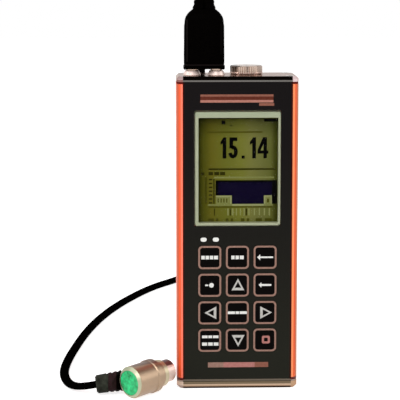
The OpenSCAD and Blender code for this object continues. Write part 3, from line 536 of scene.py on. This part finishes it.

# Painted light on the rails: their outer edges painted darker as shade, painted highlights on their inner
# edges, and painted shade over their foot
CASE_PATCHES = [
    ((-SIDE, FRONT, LOW), (-RAIL_OUTER, RAIL_FRONT, HIGH), (0.55, 0.085, 0.022)),
    ((-RAIL_INNER, FRONT, LOW), (-28, RAIL_FRONT, HIGH), (1.0, 0.19, 0.11)),
    ((28, FRONT, LOW), (29.7, RAIL_FRONT, HIGH), (0.98, 0.27, 0.1)),
    ((RAIL_OUTER, FRONT, LOW), (SIDE, RAIL_FRONT, HIGH), (0.55, 0.15, 0.055)),
    ((-SIDE, FRONT, LOW), (SIDE, RAIL_FRONT, 5.9), (0.1, 0.01, 0.006)),
]

# The film's side edges painted red where the rails shine on it, and a painted light band at its foot
OVERLAY_PATCHES = [
    ((-SIDE, FRONT, LOW), (-PANEL_SHADE, 0, HIGH), RAIL_SHINE_RED),
    ((PANEL_SHADE, FRONT, LOW), (SIDE, 0, HIGH), RAIL_SHINE_RED),
    ((-PANEL_HALF, FRONT, LOW), (PANEL_HALF, 0, 5.0), (0.15, 0.12, 0.09)),
]

# Painted highlights: faint light streaks up both sides of the plug's boot and round its lip
BOOT_HIGHLIGHTS = [
    ((-26.3, FRONT, 172), (-25.8, 0, 194), (0.009, 0.007, 0.007)),
    ((-8.5, FRONT, 176), (-8.1, 0, 192), (0.005, 0.004, 0.004)),
    ((-27, FRONT, 170.2), (-7, 0, 170.6), (0.011, 0.008, 0.008)),
]

# Painted light on the probe: a painted bright tip with a darker painted top, a painted yellowish band
# before it, a painted greenish reflection on the rim round the disc, and the top of the body painted darker
PROBE_PATCHES = [
    ((-40.2, 0, LOW), (-30, SIDE, HIGH), (0.62, 0.48, 0.42)),
    ((-40.2, 0, 13.4), (-30, SIDE, HIGH), (0.15, 0.1, 0.1)),
    ((-43.2, 0, LOW), (-40.2, SIDE, HIGH), (0.46, 0.4, 0.27)),
    ((-70, 0, LOW), (-62.1, SIDE, HIGH), (0.38, 0.39, 0.27)),
    ((-61, 0, 16.6), (-30, SIDE, HIGH), (0.2, 0.14, 0.11)),
]

# The boot is darker towards the probe
PROBE_BOOT_PATCHES = [
    ((-67.5, -SIDE, LOW), (-63.4, 0, HIGH), (0.026, 0.012, 0.013)),
    ((-63.4, -SIDE, LOW), (-50, 0, HIGH), BLACK),
]


def end_cap(name):
    """Polished nickel whose edges reflect a little darker than its middle."""
    return finish_of(
        name, scaled(NICKEL, 0.92), NICKEL, (0.14, 0.22), 1.0, depth=0.002, Specular_Tint=EDGE_TINT)


def own_materials():
    """The nodes that take a material of their own."""
    # Dark grey rubber with lighter mottled patches, for the probe's cable boot
    grey_boot_rubber = finish_of(
        "grey boot rubber", (0.012, 0.012, 0.009), (0.046, 0.05, 0.038), (0.4, 0.5), scale=260,
        depth=0.02, **MATT)
    knurled = finish_of(
        "battery cap", (0.34, 0.26, 0.215), (0.38, 0.29, 0.24), (0.16, 0.26), 1.0, depth=0.002)
    return {
        "top_end_cap": patched(end_cap("top end cap"), TOP_CAP_PATCHES),
        "bottom_end_cap": patched(end_cap("bottom end cap"), BOTTOM_CAP_PATCHES),
        "top_gasket": SEAL,
        "bottom_gasket": patched(SEAL.copy(), GASKET_PATCHES),
        "battery_cap": patched(knurled, BATTERY_CAP_PATCHES),
        "probe_socket_a": SOCKET,
        "probe_socket_b": SOCKET,
        "probe_strain_relief": patched(grey_boot_rubber, PROBE_BOOT_PATCHES),
    }


def dress_nodes():
    """Every CAD node takes the material of its slot, or one of its own."""
    shade_display(MATERIALS["lcd"])
    patched(MATERIALS["painted_case"], CASE_PATCHES)
    patched(graded(MATERIALS["overlay_film"], *OVERLAY_GRADE, OVERLAY_LIT_LOW), OVERLAY_PATCHES)
    patched(MATERIALS["probe_nickel"], PROBE_PATCHES, PROBE_TURN)
    own = own_materials()
    for sub in frame["record"]["subparts"]:
        obj = NODES[sub["node"]]
        obj.data.materials.clear()
        obj.data.materials.append(own.get(sub["node"], MATERIALS[sub["material_slot"]]))
        for poly in obj.data.polygons:
            poly.material_index = 0


dress_nodes()


# Lead

def smooth_path(points, step):
    """Points at an even step on a curve through the given ones."""
    pts = [Vector(p) for p in points]
    pts = [2 * pts[0] - pts[1]] + pts + [2 * pts[-1] - pts[-2]]
    dense = []
    for i in range(1, len(pts) - 2):
        a, b, c, d = pts[i - 1:i + 3]
        count = max(2, int((c - b).length * 4))
        for k in range(count):
            t = k / count
            dense.append(0.5 * (2 * b + (c - a) * t + (2 * a - 5 * b + 4 * c - d) * t ** 2
                                + (3 * b - 3 * c + d - a) * t ** 3))
    dense.append(pts[-2])
    total = sum((q - p).length for p, q in zip(dense, dense[1:]))
    count = round(total / step)
    even = [dense[0]]
    along = 0.0
    for p, q in zip(dense, dense[1:]):
        span = (q - p).length
        while len(even) < count and along + span >= len(even) * total / count:
            even.append(p.lerp(q, (len(even) * total / count - along) / span))
        along += span
    even.append(dense[-1])
    return even, total


def coil_points():
    """Points on the wound turns: inwards to the middle of the winding, up one layer and outwards again."""
    made = []
    for i in range(1, int(COIL_TURNS * COIL_RINGS) + 1):
        t = i / COIL_RINGS
        r = COIL_RADIUS - COIL_PITCH * (COIL_TURNS / 2 - abs(t - COIL_TURNS / 2))
        climb = min(max((t - COIL_TURNS / 2) / COIL_CLIMB + 0.5, 0), 1)
        a = math.radians(-90 + 360 * t)
        z = LEAD_D / 2 + COIL_PITCH * climb
        made.append((COIL_CENTRE[0] + r * math.cos(a), COIL_CENTRE[1] + r * math.sin(a), z))
    return made


def boot_axis(d):
    """Point on the axis of the probe's cable boot, d from the probe's own axis."""
    angle = math.radians(NECK_ANGLE)
    tilt = math.radians(NECK_TILT)
    way = Vector((-math.cos(angle) * math.cos(tilt), math.sin(angle) * math.cos(tilt), -math.sin(tilt)))
    lay = Quaternion((0, 0, 1), math.radians(PROBE_TURN)) @ Quaternion((0, 1, 0), -math.radians(PROBE_RISE))
    return PROBE_BACK + lay @ (Vector((NECK_AT, 0, 0)) + d * way)


def directions(path):
    """Forward and sideways directions along a path, sideways along X at its start and never twisted."""
    ways = [(path[min(i + 1, len(path) - 1)] - path[max(i - 1, 0)]).normalized() for i in range(len(path))]
    side = Vector((1, 0, 0))
    sides = []
    for way in ways:
        side = (side - side.dot(way) * way).normalized()
        sides.append(side)
    return ways, sides


def lobes(angle):
    """Distance from the middle to the outside of two joined round cores."""
    return CORE_OFFSET * abs(math.cos(angle)) + math.sqrt(
        CORE_RADIUS ** 2 - (CORE_OFFSET * math.sin(angle)) ** 2)


def make_lead():
    """Two joined cores along the whole route. Where it lies on the floor, its flat side touches it."""
    neck_end = NECK_L + PROBE_BOOT_L
    route = DROP_ROUTE + BACK_ROUTE + coil_points() + FLOOR_ROUTE
    route += [boot_axis(neck_end + LEAD_D), boot_axis(neck_end)]
    path, total = smooth_path(route, LEAD_STEP)
    ways, sides = directions(path)
    rings = []
    for i, (way, side) in enumerate(zip(ways, sides)):
        drop = LEAD_D / 2 - (CORE_RADIUS + CORE_OFFSET * abs(side.z))
        settle = min(max((SETTLE_BELOW - path[i].z) / SETTLE_OVER, 0), 1) * drop
        path[i] = path[i] - Vector((0, 0, settle))
        up = way.cross(side)
        ring = []
        for k in range(LEAD_SECTORS):
            a = 2 * math.pi * k / LEAD_SECTORS
            ring.append(path[i] + lobes(a) * (math.cos(a) * side + math.sin(a) * up))
        rings.append(ring)
    lead = loft("twin_lead", rings)
    lead.data.materials.append(MATERIALS["lead_jacket"])
    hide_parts("lead_drop", "lead_back", "lead_coil", "lead_floor")
    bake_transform(lead)
    return lead, path, total


lead, lead_path, lead_length = make_lead()


# Plug boot and its strain relief

def rounded_ring(cx, cy, z, half_w, half_d, radius):
    """Points of a rectangle with round corners, seen from above."""
    ring = []
    for quarter in range(4):
        sx = 1 if quarter in (0, 3) else -1
        sy = 1 if quarter in (0, 1) else -1
        for k in range(CORNER_POINTS):
            a = math.radians(90 * (quarter + k / (CORNER_POINTS - 1)))
            x = sx * (half_w - radius) + radius * math.cos(a)
            y = sy * (half_d - radius) + radius * math.sin(a)
            ring.append((cx + x, cy + y, z))
    return ring


boot_lo, boot_hi = (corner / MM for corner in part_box("plug_boot"))
BOOT_X = (boot_lo.x + boot_hi.x) / 2
BOOT_RIM = 0.25
BOOT_HALF_W = (boot_hi.x - boot_lo.x) / 2 - BOOT_RIM
BOOT_HALF_D = (boot_hi.y - boot_lo.y) / 2 - BOOT_RIM
BOOT_BODY_H = 24.5

# Lip and body: height above the lower edge, how far the sides stand out, and corner radius
SHOULDER_INSET = 0.42
SHOULDER_CORNER = 3.7
BOOT_ROWS = [
    (0.0, -0.5, 3.4), (0.12, -0.18, 3.7), (0.4, 0.05, 3.95), (0.9, BOOT_RIM, 4.1), (2.0, BOOT_RIM, 4.1),
    (2.5, 0.12, 4.0), (2.75, -0.12, 3.9), (3.1, -0.16, 3.9), (3.4, -0.02, 4.0), (8.0, 0.0, 4.0),
    (16.0, -0.1, 3.9), (BOOT_BODY_H - 1.4, -0.18, 3.8), (BOOT_BODY_H, -SHOULDER_INSET, SHOULDER_CORNER),
]

# The lip rises over the two sockets
SOCKET_OFFSET = 6.4
SOCKET_REACH = 4.2
LIP_LIFT = 0.8
LIP_H = 2.0

# Sleeves, and the shoulder that runs up to them
SLEEVE_R = 2.85
SLEEVE_X = 3.0
NECK_HALF_W = SLEEVE_R + SLEEVE_X + BOOT_RIM
NECK_HALF_D = SLEEVE_R + BOOT_RIM
NECK_CORNER = NECK_HALF_D - 0.3
SHOULDER_H = boot_hi.z - boot_lo.z - BOOT_BODY_H
SHOULDER_EASE = 2.4
SHOULDER_STEPS = 12
SLEEVE_SECTORS = 48
SLEEVE_STEPS = 80
SLEEVE_END_R = CORE_RADIUS + 0.1
RIBS = 5
RIB_H = 0.32
RIB_SHARE = 0.62
RIB_ROUND = 0.6
RIBS_END = 0.94
SLEEVE_TAPER = 0.1


def lip_lift(x):
    """How far the boot's lower edge rises over the two sockets."""
    return LIP_LIFT * max(0, 1 - ((abs(x - BOOT_X) - SOCKET_OFFSET) / SOCKET_REACH) ** 2)


def make_boot():
    """Boot over both plugs: a lip at the bottom, a straight body and a domed shoulder."""
    rings = []
    for up, grow, r in BOOT_ROWS:
        ring = rounded_ring(BOOT_X, 0, boot_lo.z + up, BOOT_HALF_W + grow, BOOT_HALF_D + grow, r)
        rings.append([(x, y, z + lip_lift(x) * max(0, 1 - up / LIP_H)) for x, y, z in ring])
    start_w = BOOT_HALF_W - SHOULDER_INSET
    start_d = BOOT_HALF_D - SHOULDER_INSET
    for i in range(1, SHOULDER_STEPS + 1):
        t = i / SHOULDER_STEPS
        ease = t ** SHOULDER_EASE
        w = start_w + (NECK_HALF_W - start_w) * ease
        d = start_d + (NECK_HALF_D - start_d) * ease
        r = SHOULDER_CORNER + (NECK_CORNER - SHOULDER_CORNER) * ease
        rings.append(rounded_ring(BOOT_X, 0, boot_lo.z + BOOT_BODY_H + t * SHOULDER_H, w, d, r))
    skin = MATERIALS["black_rubber"].copy()
    skin.name = "boot skin"
    # Painted highlights on the boot
    patched(skin, BOOT_HIGHLIGHTS)
    return add_piece(loft("plug_boot_skin", rings), "probe_plug", skin, ("plug_boot",))


def make_sleeves():
    """Ribbed strain relief: two sleeves side by side that run together into the lead."""
    lo, hi = (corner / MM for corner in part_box("plug_strain_relief"))
    rings = []
    for i in range(SLEEVE_STEPS + 1):
        t = i / SLEEVE_STEPS
        offset = SLEEVE_X + (CORE_OFFSET - SLEEVE_X) * t
        phase = (t * RIBS) % 1
        if t < RIBS_END:
            grow = RIB_H * max(0.0, math.sin(math.pi * min(phase / RIB_SHARE, 1))) ** RIB_ROUND
        else:
            grow = -SLEEVE_TAPER * (t - RIBS_END) / (1 - RIBS_END)
        radius = SLEEVE_R + (SLEEVE_END_R - SLEEVE_R) * t + grow
        ring = []
        for k in range(SLEEVE_SECTORS):
            a = 2 * math.pi * k / SLEEVE_SECTORS
            s = min(offset * abs(math.sin(a)) / radius, 0.999)
            out = offset * abs(math.cos(a)) + radius * math.sqrt(1 - s * s)
            ring.append((BOOT_X + out * math.cos(a), out * math.sin(a), lo.z + t * (hi.z - lo.z)))
        rings.append(ring)
    return add_piece(loft("strain_relief_sleeves", rings), "probe_plug",
                     MATERIALS["black_rubber"], ("plug_strain_relief",))


boot = make_boot()
sleeves = make_sleeves()


# Flat shapes on the front: outlines in X and Z with a small thickness

def plates(name, outlines, y_front, thickness):
    """Thin plates with the given outlines, one solid for each outline."""
    verts = []
    faces = []
    for outline in outlines:
        n = len(outline)
        base = len(verts)
        verts += [(x, y_front, z) for x, z in outline]
        verts += [(x, y_front + thickness, z) for x, z in outline]
        faces.append(tuple(range(base, base + n)))
        faces.append(tuple(reversed(range(base + n, base + 2 * n))))
        for k in range(n):
            a = base + k
            b = base + (k + 1) % n
            faces.append((a, a + n, b + n, b))
    return fix_normals(new_mesh(name, verts, faces, smooth=False))


def frame_band(name, outer, inner, y_front, thickness):
    """Flat band between two outlines with as many points each."""
    n = len(outer)
    verts = []
    for y in (y_front, y_front + thickness):
        verts += [(x, y, z) for x, z in outer]
        verts += [(x, y, z) for x, z in inner]
    faces = []
    for k in range(n):
        j = (k + 1) % n
        faces.append((k, j, n + j, n + k))
        faces.append((2 * n + k, 3 * n + k, 3 * n + j, 2 * n + j))
        faces.append((k, 2 * n + k, 2 * n + j, j))
        faces.append((n + k, n + j, 3 * n + j, 3 * n + k))
    return fix_normals(new_mesh(name, verts, faces, smooth=False))


def rect(x0, z0, x1, z1):
    return [(x0, z0), (x1, z0), (x1, z1), (x0, z1)]


def round_rect(cx, cz, half_w, half_h, radius):
    return [(x, z) for x, z, _ in rounded_ring(cx, cz, 0, half_w, half_h, radius)]


# Keypad: a printed frame round each key and a plain sign on it

KEY_BAND = 1.0
KEY_EDGE = 0.05
KEY_CORNER = 2.2
KEY_INNER_CORNER = 1.35

# Rows of blocks: height of the row's middle above the key's, height of the blocks, and their start and end
BLOCK_SIGNS = {
    "key_menu": [(0, 1.9, [(-4.4, -2.6), (-2.2, -0.4), (0, 1.8), (2.2, 4.3)])],
    "key_clear": [(0, 1.9, [(-3.2, -1.5), (-1.0, 0.7), (1.2, 3.3)])],
    "key_enter": [(0, 1.4, [(-5.0, -1.2), (-0.9, 0.9), (1.2, 5.3)])],
    "key_mode": [(1.9, 1.4, [(-4.0, -1.1), (-0.7, 1.3), (1.7, 4.6)]),
                 (-2.0, 1.7, [(-4.0, -1.3), (-0.8, 1.6), (2.1, 4.6)])],
}

# Arrows to the left: half length, half the bar's height, and head
ARROW_SIGNS = {"key_measure": (4.2, 0.42, 1.6), "key_back": (3.3, 0.5, 1.4)}

# Triangles: the way each points in degrees, and how far right of the key's middle it stands
TRIANGLE_SIGNS = {
    "key_up": (0, 0.3), "key_left": (90, 0.7), "key_down": (180, 0.5), "key_right": (270, 0.3),
}
TRIANGLE_SIZE = 5.1
TRIANGLE_HOLE = 2.6
TRIANGLE_CORNERS = [(0, 0.68), (-0.66, -0.54), (0.66, -0.54)]
DISC_POINTS = 24


def key_place(name):
    """Middle of a key and half its width and height."""
    lo, hi = (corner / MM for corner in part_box(name))
    return (lo.x + hi.x) / 2, (lo.z + hi.z) / 2, (hi.x - lo.x) / 2, (hi.z - lo.z) / 2


def triangle(x, z, turn, size):
    a = math.radians(turn)
    return [(x + size * (u * math.cos(a) - v * math.sin(a)), z + size * (u * math.sin(a) + v * math.cos(a)))
            for u, v in TRIANGLE_CORNERS]


def arrow(x, z, half, bar, head):
    return [(x - half, z), (x - half + head, z + head), (x - half + head, z + bar), (x + half, z + bar),
            (x + half, z - bar), (x - half + head, z - bar), (x - half + head, z - head)]


def disc(x, z, radius):
    turns = [2 * math.pi * i / DISC_POINTS for i in range(DISC_POINTS)]
    return [(x + radius * math.cos(a), z + radius * math.sin(a)) for a in turns]


def key_sign(name, x, z):
    """Outlines of the sign on a key, the outer and inner outline if it is hollow, and its ink."""
    if name in BLOCK_SIGNS:
        blocks = [rect(x + a, z + up - height / 2, x + b, z + up + height / 2)
                  for up, height, spans in BLOCK_SIGNS[name] for a, b in spans]
        return blocks, None, WHITE_INK
    if name in ARROW_SIGNS:
        return [arrow(x, z, *ARROW_SIGNS[name])], None, WHITE_INK
    if name in TRIANGLE_SIGNS:
        turn, right = TRIANGLE_SIGNS[name]
        band = [triangle(x + right, z, turn, size) for size in (TRIANGLE_SIZE, TRIANGLE_HOLE)]
        return None, band, SIGN_INK
    if name == "key_accept":
        return [disc(x + 0.9, z, 1.25), rect(x - 2.4, z - 0.4, x - 0.8, z + 0.4)], None, WHITE_INK
    band = [round_rect(x + 0.6, z + 0.2, half, half, corner) for half, corner in ((2.1, 0.9), (1.0, 0.4))]
    return None, band, ROSE_INK


def dress_key(name):
    x, z, half_w, half_h = key_place(name)
    outer = round_rect(x, z, half_w - KEY_EDGE, half_h - KEY_EDGE, KEY_CORNER)
    inner = round_rect(x, z, half_w - KEY_BAND, half_h - KEY_BAND, KEY_INNER_CORNER)
    add_piece(frame_band(name + "_frame", outer, inner, KEY_FACE - INK_T, INK_T), name, TAN_INK)
    outlines, band, ink = key_sign(name, x, z)
    if band:
        sign = frame_band(name + "_sign", *band, KEY_FACE - INK_T, INK_T)
    else:
        sign = plates(name + "_sign", outlines, KEY_FACE - INK_T, INK_T)
    add_piece(sign, name, ink)


for key_name in KEY_NAMES:
    dress_key(key_name)


# Printed rules on the front panel: left, right, lower and upper end, and ink

RULES = {
    "top_rule": (-19.4, 18.4, 154.7, 155.8, DIM_INK),
    "middle_rule": (-19.4, 18.4, 152.9, 154.7, BROWN_INK),
    "lower_rule": (-19.4, 18.4, 151.6, 152.9, ORANGE_INK),
    "short_rule": (11.0, 18.8, 149.9, 151.3, DIM_INK),
    "bottom_rule_left": (-15.4, -7.2, 11.4, 14.1, TAN_INK),
    "bottom_rule_middle": (-7.2, 9.2, 11.4, 14.1, ROSE_INK),
    "bottom_rule_right": (9.2, 16.4, 11.4, 14.1, DIM_INK),
}


def add_rules():
    for name, (x0, x1, z0, z1, ink) in RULES.items():
        add_piece(plates(name, [rect(x0, z0, x1, z1)], FACE - INK_T, INK_T), "gauge", ink)


add_rules()


# Display border: a bar of its own width on each side of the view

border_lo, border_hi = (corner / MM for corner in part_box("display_bezel"))
window_lo, window_hi = (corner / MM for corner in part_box("display_window"))
GLASS_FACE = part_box("lcd_glass")[0].y / MM
BORDER_LEFT = 2.25
BORDER_RIGHT = 1.35
BORDER_TOP = 4.0
BORDER_BOTTOM = 1.65
BORDER_GAP = 0.1
BORDER_INSET_LEFT = 0.4
BORDER_INSET_TOP = 0.8
BORDER_FLANGE_T = 0.9
BORDER_CHAMFER = 0.2
# The border's top bar is painted a little darker, as painted shade, from TOP_BAR_RISE above the view up
TOP_BAR_RISE = 0.5
TOP_BAR_SHADE_GREY = (0.38, 0.41, 0.3)
VIEW_LEFT = window_lo.x + BORDER_LEFT
VIEW_RIGHT = window_hi.x - BORDER_RIGHT
VIEW_TOP = window_hi.z - BORDER_TOP
VIEW_BOTTOM = window_lo.z + BORDER_BOTTOM

# Left end of the marks, and how far they stand out from the glass
MARK_LEFT = VIEW_LEFT + 0.7
MARK_T = 0.05


def make_border():
    """Pale border round the display: a flange behind the case wall and a frame in front of it."""
    front = border_lo.y
    edge = front + BORDER_CHAMFER
    flange = border_hi.y - BORDER_FLANGE_T
    view = (VIEW_LEFT, VIEW_BOTTOM, VIEW_RIGHT, VIEW_TOP)
    body = (window_lo.x + BORDER_INSET_LEFT, window_lo.z + BORDER_GAP,
            window_hi.x - BORDER_GAP, window_hi.z - BORDER_INSET_TOP)
    whole = (border_lo.x, border_lo.z, border_hi.x, border_hi.z)
    rows = [
        (edge, body, 0, 1.0), (front, body, -BORDER_CHAMFER, 0.9), (front, view, BORDER_CHAMFER, 0.5),
        (edge, view, 0, 0.4), (border_hi.y, view, 0, 0.4), (border_hi.y, whole, 0, 1.6),
        (flange, whole, 0, 1.6), (flange, body, 0, 1.0),
    ]
    rings = []
    for y, (x0, z0, x1, z1), grow, radius in rows:
        half_w = (x1 - x0) / 2 + grow
        half_h = (z1 - z0) / 2 + grow
        outline = round_rect((x0 + x1) / 2, (z0 + z1) / 2, half_w, half_h, radius)
        rings.append([(x, y, z) for x, z in outline])
    border = loft("display_border", rings, loop=True, smooth=False)
    # Painted shade on the top bar
    top_bar_shade = ((-SIDE, FRONT, VIEW_TOP + TOP_BAR_RISE), (SIDE, 0, HIGH), TOP_BAR_SHADE_GREY)
    mat = patched(MATERIALS["pale_plastic"], [top_bar_shade])
    return add_piece(border, "gauge", mat, ("display_bezel",))


make_border()


# Marks on the display: left, upper, right and lower end of each, from the upper left of the view

def on_view(boxes):
    return [rect(MARK_LEFT + x0, VIEW_TOP - y1, MARK_LEFT + x1, VIEW_TOP - y0) for x0, y0, x1, y1 in boxes]


def row_of(spans, top, bottom):
    """Boxes side by side, each with its own start and end."""
    return [(x0, top, x1, bottom) for x0, x1 in spans]


TICK_STEP = 2.05
DISPLAY_MARKS = {
    "status_marks": (LCD_BLACK, [(11.4, 1.7, 13.3, 3.7), (33.6, 0.9, 40.6, 2.3)]),
    # A painted shadow of the border along the top of the view, and a short dash below it
    "top_shadow_and_dash": (LCD_DARK, [(-0.3, 0.1, 40.6, 0.9), (15.6, 4.0, 17.1, 4.7)]),
    "thin_lines": (LCD_DARK, [(4.6, 26.8, 39.9, 27.7)]),
    "faint_lines": (LCD_SHADE, [(3.8, 7.4, 32.6, 8.1), (4.6, 46.9, 38.6, 47.6), (2.7, 31.5, 3.8, 45.5)]),
    "labels": (LCD_DARK, [(0.7, 28.9, 2.5, 30.4)]
               + row_of([(4.6, 7.0), (7.6, 10.2), (10.6, 13.3)], 28.7, 30.4)),
    "ticks": (LCD_DARK, [(4.8, 32.3 + i * TICK_STEP, 6.6, 33.1 + i * TICK_STEP) for i in range(7)]
              + [(7.1, 32.3, 7.8, 45.5)]),
    "graph_black": (LCD_BLACK, [(8.3, 33.1, 40.5, 34.2), (8.3, 34.2, 9.7, 41.1), (37.8, 34.2, 40.5, 45.6)]),
    "graph_navy": (LCD_NAVY, [(9.7, 34.2, 37.8, 41.1), (16.9, 41.1, 33.6, 45.6)]),
    "cells": (LCD_MID, [(8.5, 41.9, 16.0, 45.6), (34.4, 41.9, 37.2, 45.6)]),
    "cell_edges": (LCD_PALE, [(8.5, 41.2, 16.7, 41.9), (16.0, 41.9, 16.7, 45.6), (33.7, 41.2, 37.8, 41.9),
                              (33.7, 41.9, 34.4, 45.6), (37.2, 41.9, 37.8, 45.6)]),
    "pale_line": (LCD_PALE, [(16.9, 45.7, 33.6, 46.6)]),
    "mid_lines": (LCD_MID, [(7.5, 31.2, 38.9, 32.1), (4.3, 45.7, 16.8, 46.6), (33.7, 45.7, 38.3, 46.6)]),
    "dark_bars": (LCD_DARK, row_of([(7.5, 8.0), (15.7, 16.4), (24.0, 24.9)], 48.0, 51.8)),
    "pale_bars": (LCD_LIGHT, row_of(
        [(14.5, 15.2), (16.9, 17.7), (19.0, 19.5), (21.1, 21.6), (23.1, 23.6), (25.4, 26.2), (28.4, 29.0),
         (31.0, 31.6), (33.6, 34.3), (36.2, 36.9)], 48.0, 51.7)),
    "lower_labels": (LCD_SHADE, row_of(
        [(4.5, 7.5), (8.5, 9.8), (13.7, 15.1), (16.3, 17.5), (21.6, 23.5), (24.7, 26.0), (29.4, 32.6),
         (34.2, 37.8)], 53.3, 54.9)),
}

for mark_name, (ink, boxes) in DISPLAY_MARKS.items():
    add_piece(plates("lcd_" + mark_name, on_view(boxes), GLASS_FACE - MARK_T, MARK_T), "gauge", ink)

CELL_BARS = row_of([(9.4, 10.0), (10.9, 11.5), (12.4, 13.0), (13.9, 14.5)], 42.7, 44.9)
CELL_BARS.append((35.3, 42.9, 36.3, 44.9))
cell_bars = plates("lcd_cell_bars", on_view(CELL_BARS), GLASS_FACE - 2 * MARK_T, MARK_T)
add_piece(cell_bars, "gauge", LCD_SHADE)


# Reading: large plain digits, each an outline or two in its own box

DIGIT_TOP = 10.5
DIGIT_H = 11.1
DIGIT_STROKE = 1.95
ARC_STEPS = 16
FOUR_LEFT = 30.2
FOUR_WIDTH = 5.7
FOUR_STEM = 2.6
FOUR_STROKE = 1.8
DECIMAL_POINT = (21.9, 20.1, 23.5, 21.7)


def arc_band(cx, cz, rx, rz, thick, start, end):
    """Band of a given thickness along an arc, drawn from one angle to the other in degrees."""
    angles = [math.radians(start + (end - start) * i / ARC_STEPS) for i in range(ARC_STEPS + 1)]
    outer = [(cx + rx * math.cos(a), cz + rz * math.sin(a)) for a in angles]
    inner = [(cx + (rx - thick) * math.cos(a), cz + (rz - thick) * math.sin(a)) for a in reversed(angles)]
    return outer + inner


def digit_one(w, h):
    stem = w - DIGIT_STROKE
    return [[(stem, 0), (w, 0), (w, h), (stem + 0.45, h), (0, h - 2.4), (0, h - 4.0), (stem, h - 3.1)]]


def digit_four(w, h):
    left = w - FOUR_STEM
    right = left + FOUR_STROKE
    return [[(left, 0), (right, 0), (right, 2.5), (w, 2.5), (w, 4.1), (right, 4.1), (right, h),
             (left - 0.3, h), (0, 4.3), (0, 2.5), (left, 2.5)]]


def digit_five(w, h):
    bar = DIGIT_STROKE
    return [
        [(0.5, h), (0.5, h - 5.9), (0.5 + bar, h - 5.3), (0.5 + bar, h - bar), (w - 0.3, h - bar),
         (w - 0.3, h)],
        arc_band(w / 2 - 0.1, 3.45, w / 2 + 0.1, 3.45, 2.0, -168, 128),
    ]


# Each digit with its left end and its width
DIGITS = (
    (digit_one, 10.9, 3.0), (digit_five, 15.0, 4.9),
    (digit_one, 26.2, 3.2), (digit_four, FOUR_LEFT, FOUR_WIDTH),
)


def make_reading():
    z0 = VIEW_TOP - DIGIT_TOP - DIGIT_H
    outlines = []
    for shape, left, width in DIGITS:
        for outline in shape(width, DIGIT_H):
            outlines.append([(MARK_LEFT + left + x, z0 + z) for x, z in outline])
    outlines += on_view([DECIMAL_POINT])
    add_piece(plates("lcd_reading", outlines, GLASS_FACE - MARK_T, MARK_T), "gauge", LCD_BLACK)
    x0 = MARK_LEFT + FOUR_LEFT + FOUR_WIDTH - FOUR_STEM
    hole = [(x0, z0 + 4.2), (x0, z0 + 7.6), (x0 - 1.5, z0 + 4.2)]
    add_piece(plates("lcd_reading_hole", [hole], GLASS_FACE - 2 * MARK_T, MARK_T), "gauge", LCD_MID)


make_reading()


# Stage, lights and camera

LIGHT_TARGET = (0, 0, 90)
LIGHTS = {
    "front_light": ((-300, -1100, 900), (900, 600), 8.0),
    "left_light": ((-900, -300, 500), (500, 700), 4.0),
    "right_light": ((900, -200, 500), (500, 700), 3.0),
}


def seen_directly(mat):
    """1 for what the camera sees, also in a reflection or through glass, and 0 for light on the object."""
    seen = node(mat, "ShaderNodeLightPath").outputs
    either = maths(mat, "MAXIMUM", seen["Is Camera Ray"], seen["Is Glossy Ray"])
    return maths(mat, "MAXIMUM", either, seen["Is Transmission Ray"])


def make_floor():
    """Pale floor, white for the camera and in reflections, that keeps the object's shadow."""
    mat = shader("floor", FLOOR_GREY, 0.9, Specular_IOR_Level=0.0, Emission_Color=(1, 1, 1, 1))
    glow = maths(mat, "MULTIPLY", seen_directly(mat), FLOOR_GLOW)
    link(mat, glow, principled(mat).inputs["Emission Strength"])
    corners = [(x * FLOOR_REACH, y * FLOOR_REACH, 0) for x, y in ((-1, -1), (1, -1), (1, 1), (-1, 1))]
    floor = new_mesh("floor", corners, [(0, 1, 2, 3)], smooth=False)
    floor.data.materials.append(mat)


def make_world():
    """White for the camera and in reflections, and a plain soft light on the object."""
    world = bpy.data.worlds.new("studio")
    bpy.context.scene.world = world
    world.use_nodes = True
    back = world.node_tree.nodes["Background"]
    back.inputs["Color"].default_value = (1, 1, 1, 1)
    link(world, map_range(world, seen_directly(world), 0.0, 1.0, WORLD_LIGHT), back.inputs["Strength"])


def add_light(name, place, size, energy):
    data = bpy.data.lights.new(name, "AREA")
    data.shape = "RECTANGLE"
    data.size = size[0] * MM
    data.size_y = size[1] * MM
    data.energy = energy
    obj = bpy.data.objects.new(name, data)
    bpy.context.scene.collection.objects.link(obj)
    obj.location = m(place)
    obj.rotation_euler = (Vector(LIGHT_TARGET) - Vector(place)).to_track_quat("-Z", "Y").to_euler()


def make_camera():
    data = bpy.data.cameras.new("camera")
    data.lens = CAMERA_LENS
    data.sensor_width = CAMERA_SENSOR
    data.shift_y = CAMERA_SHIFT
    data.clip_end = CAMERA_REACH
    obj = bpy.data.objects.new("camera", data)
    bpy.context.scene.collection.objects.link(obj)
    obj.location = m(CAMERA_PLACE)
    obj.rotation_euler = (math.radians(90 - CAMERA_PITCH), 0, math.radians(-CAMERA_TURN))
    bpy.context.scene.camera = obj


make_floor()
make_world()
for light_name, light in LIGHTS.items():
    add_light(light_name, *light)
make_camera()
bpy.context.scene.view_settings.view_transform = "Standard"
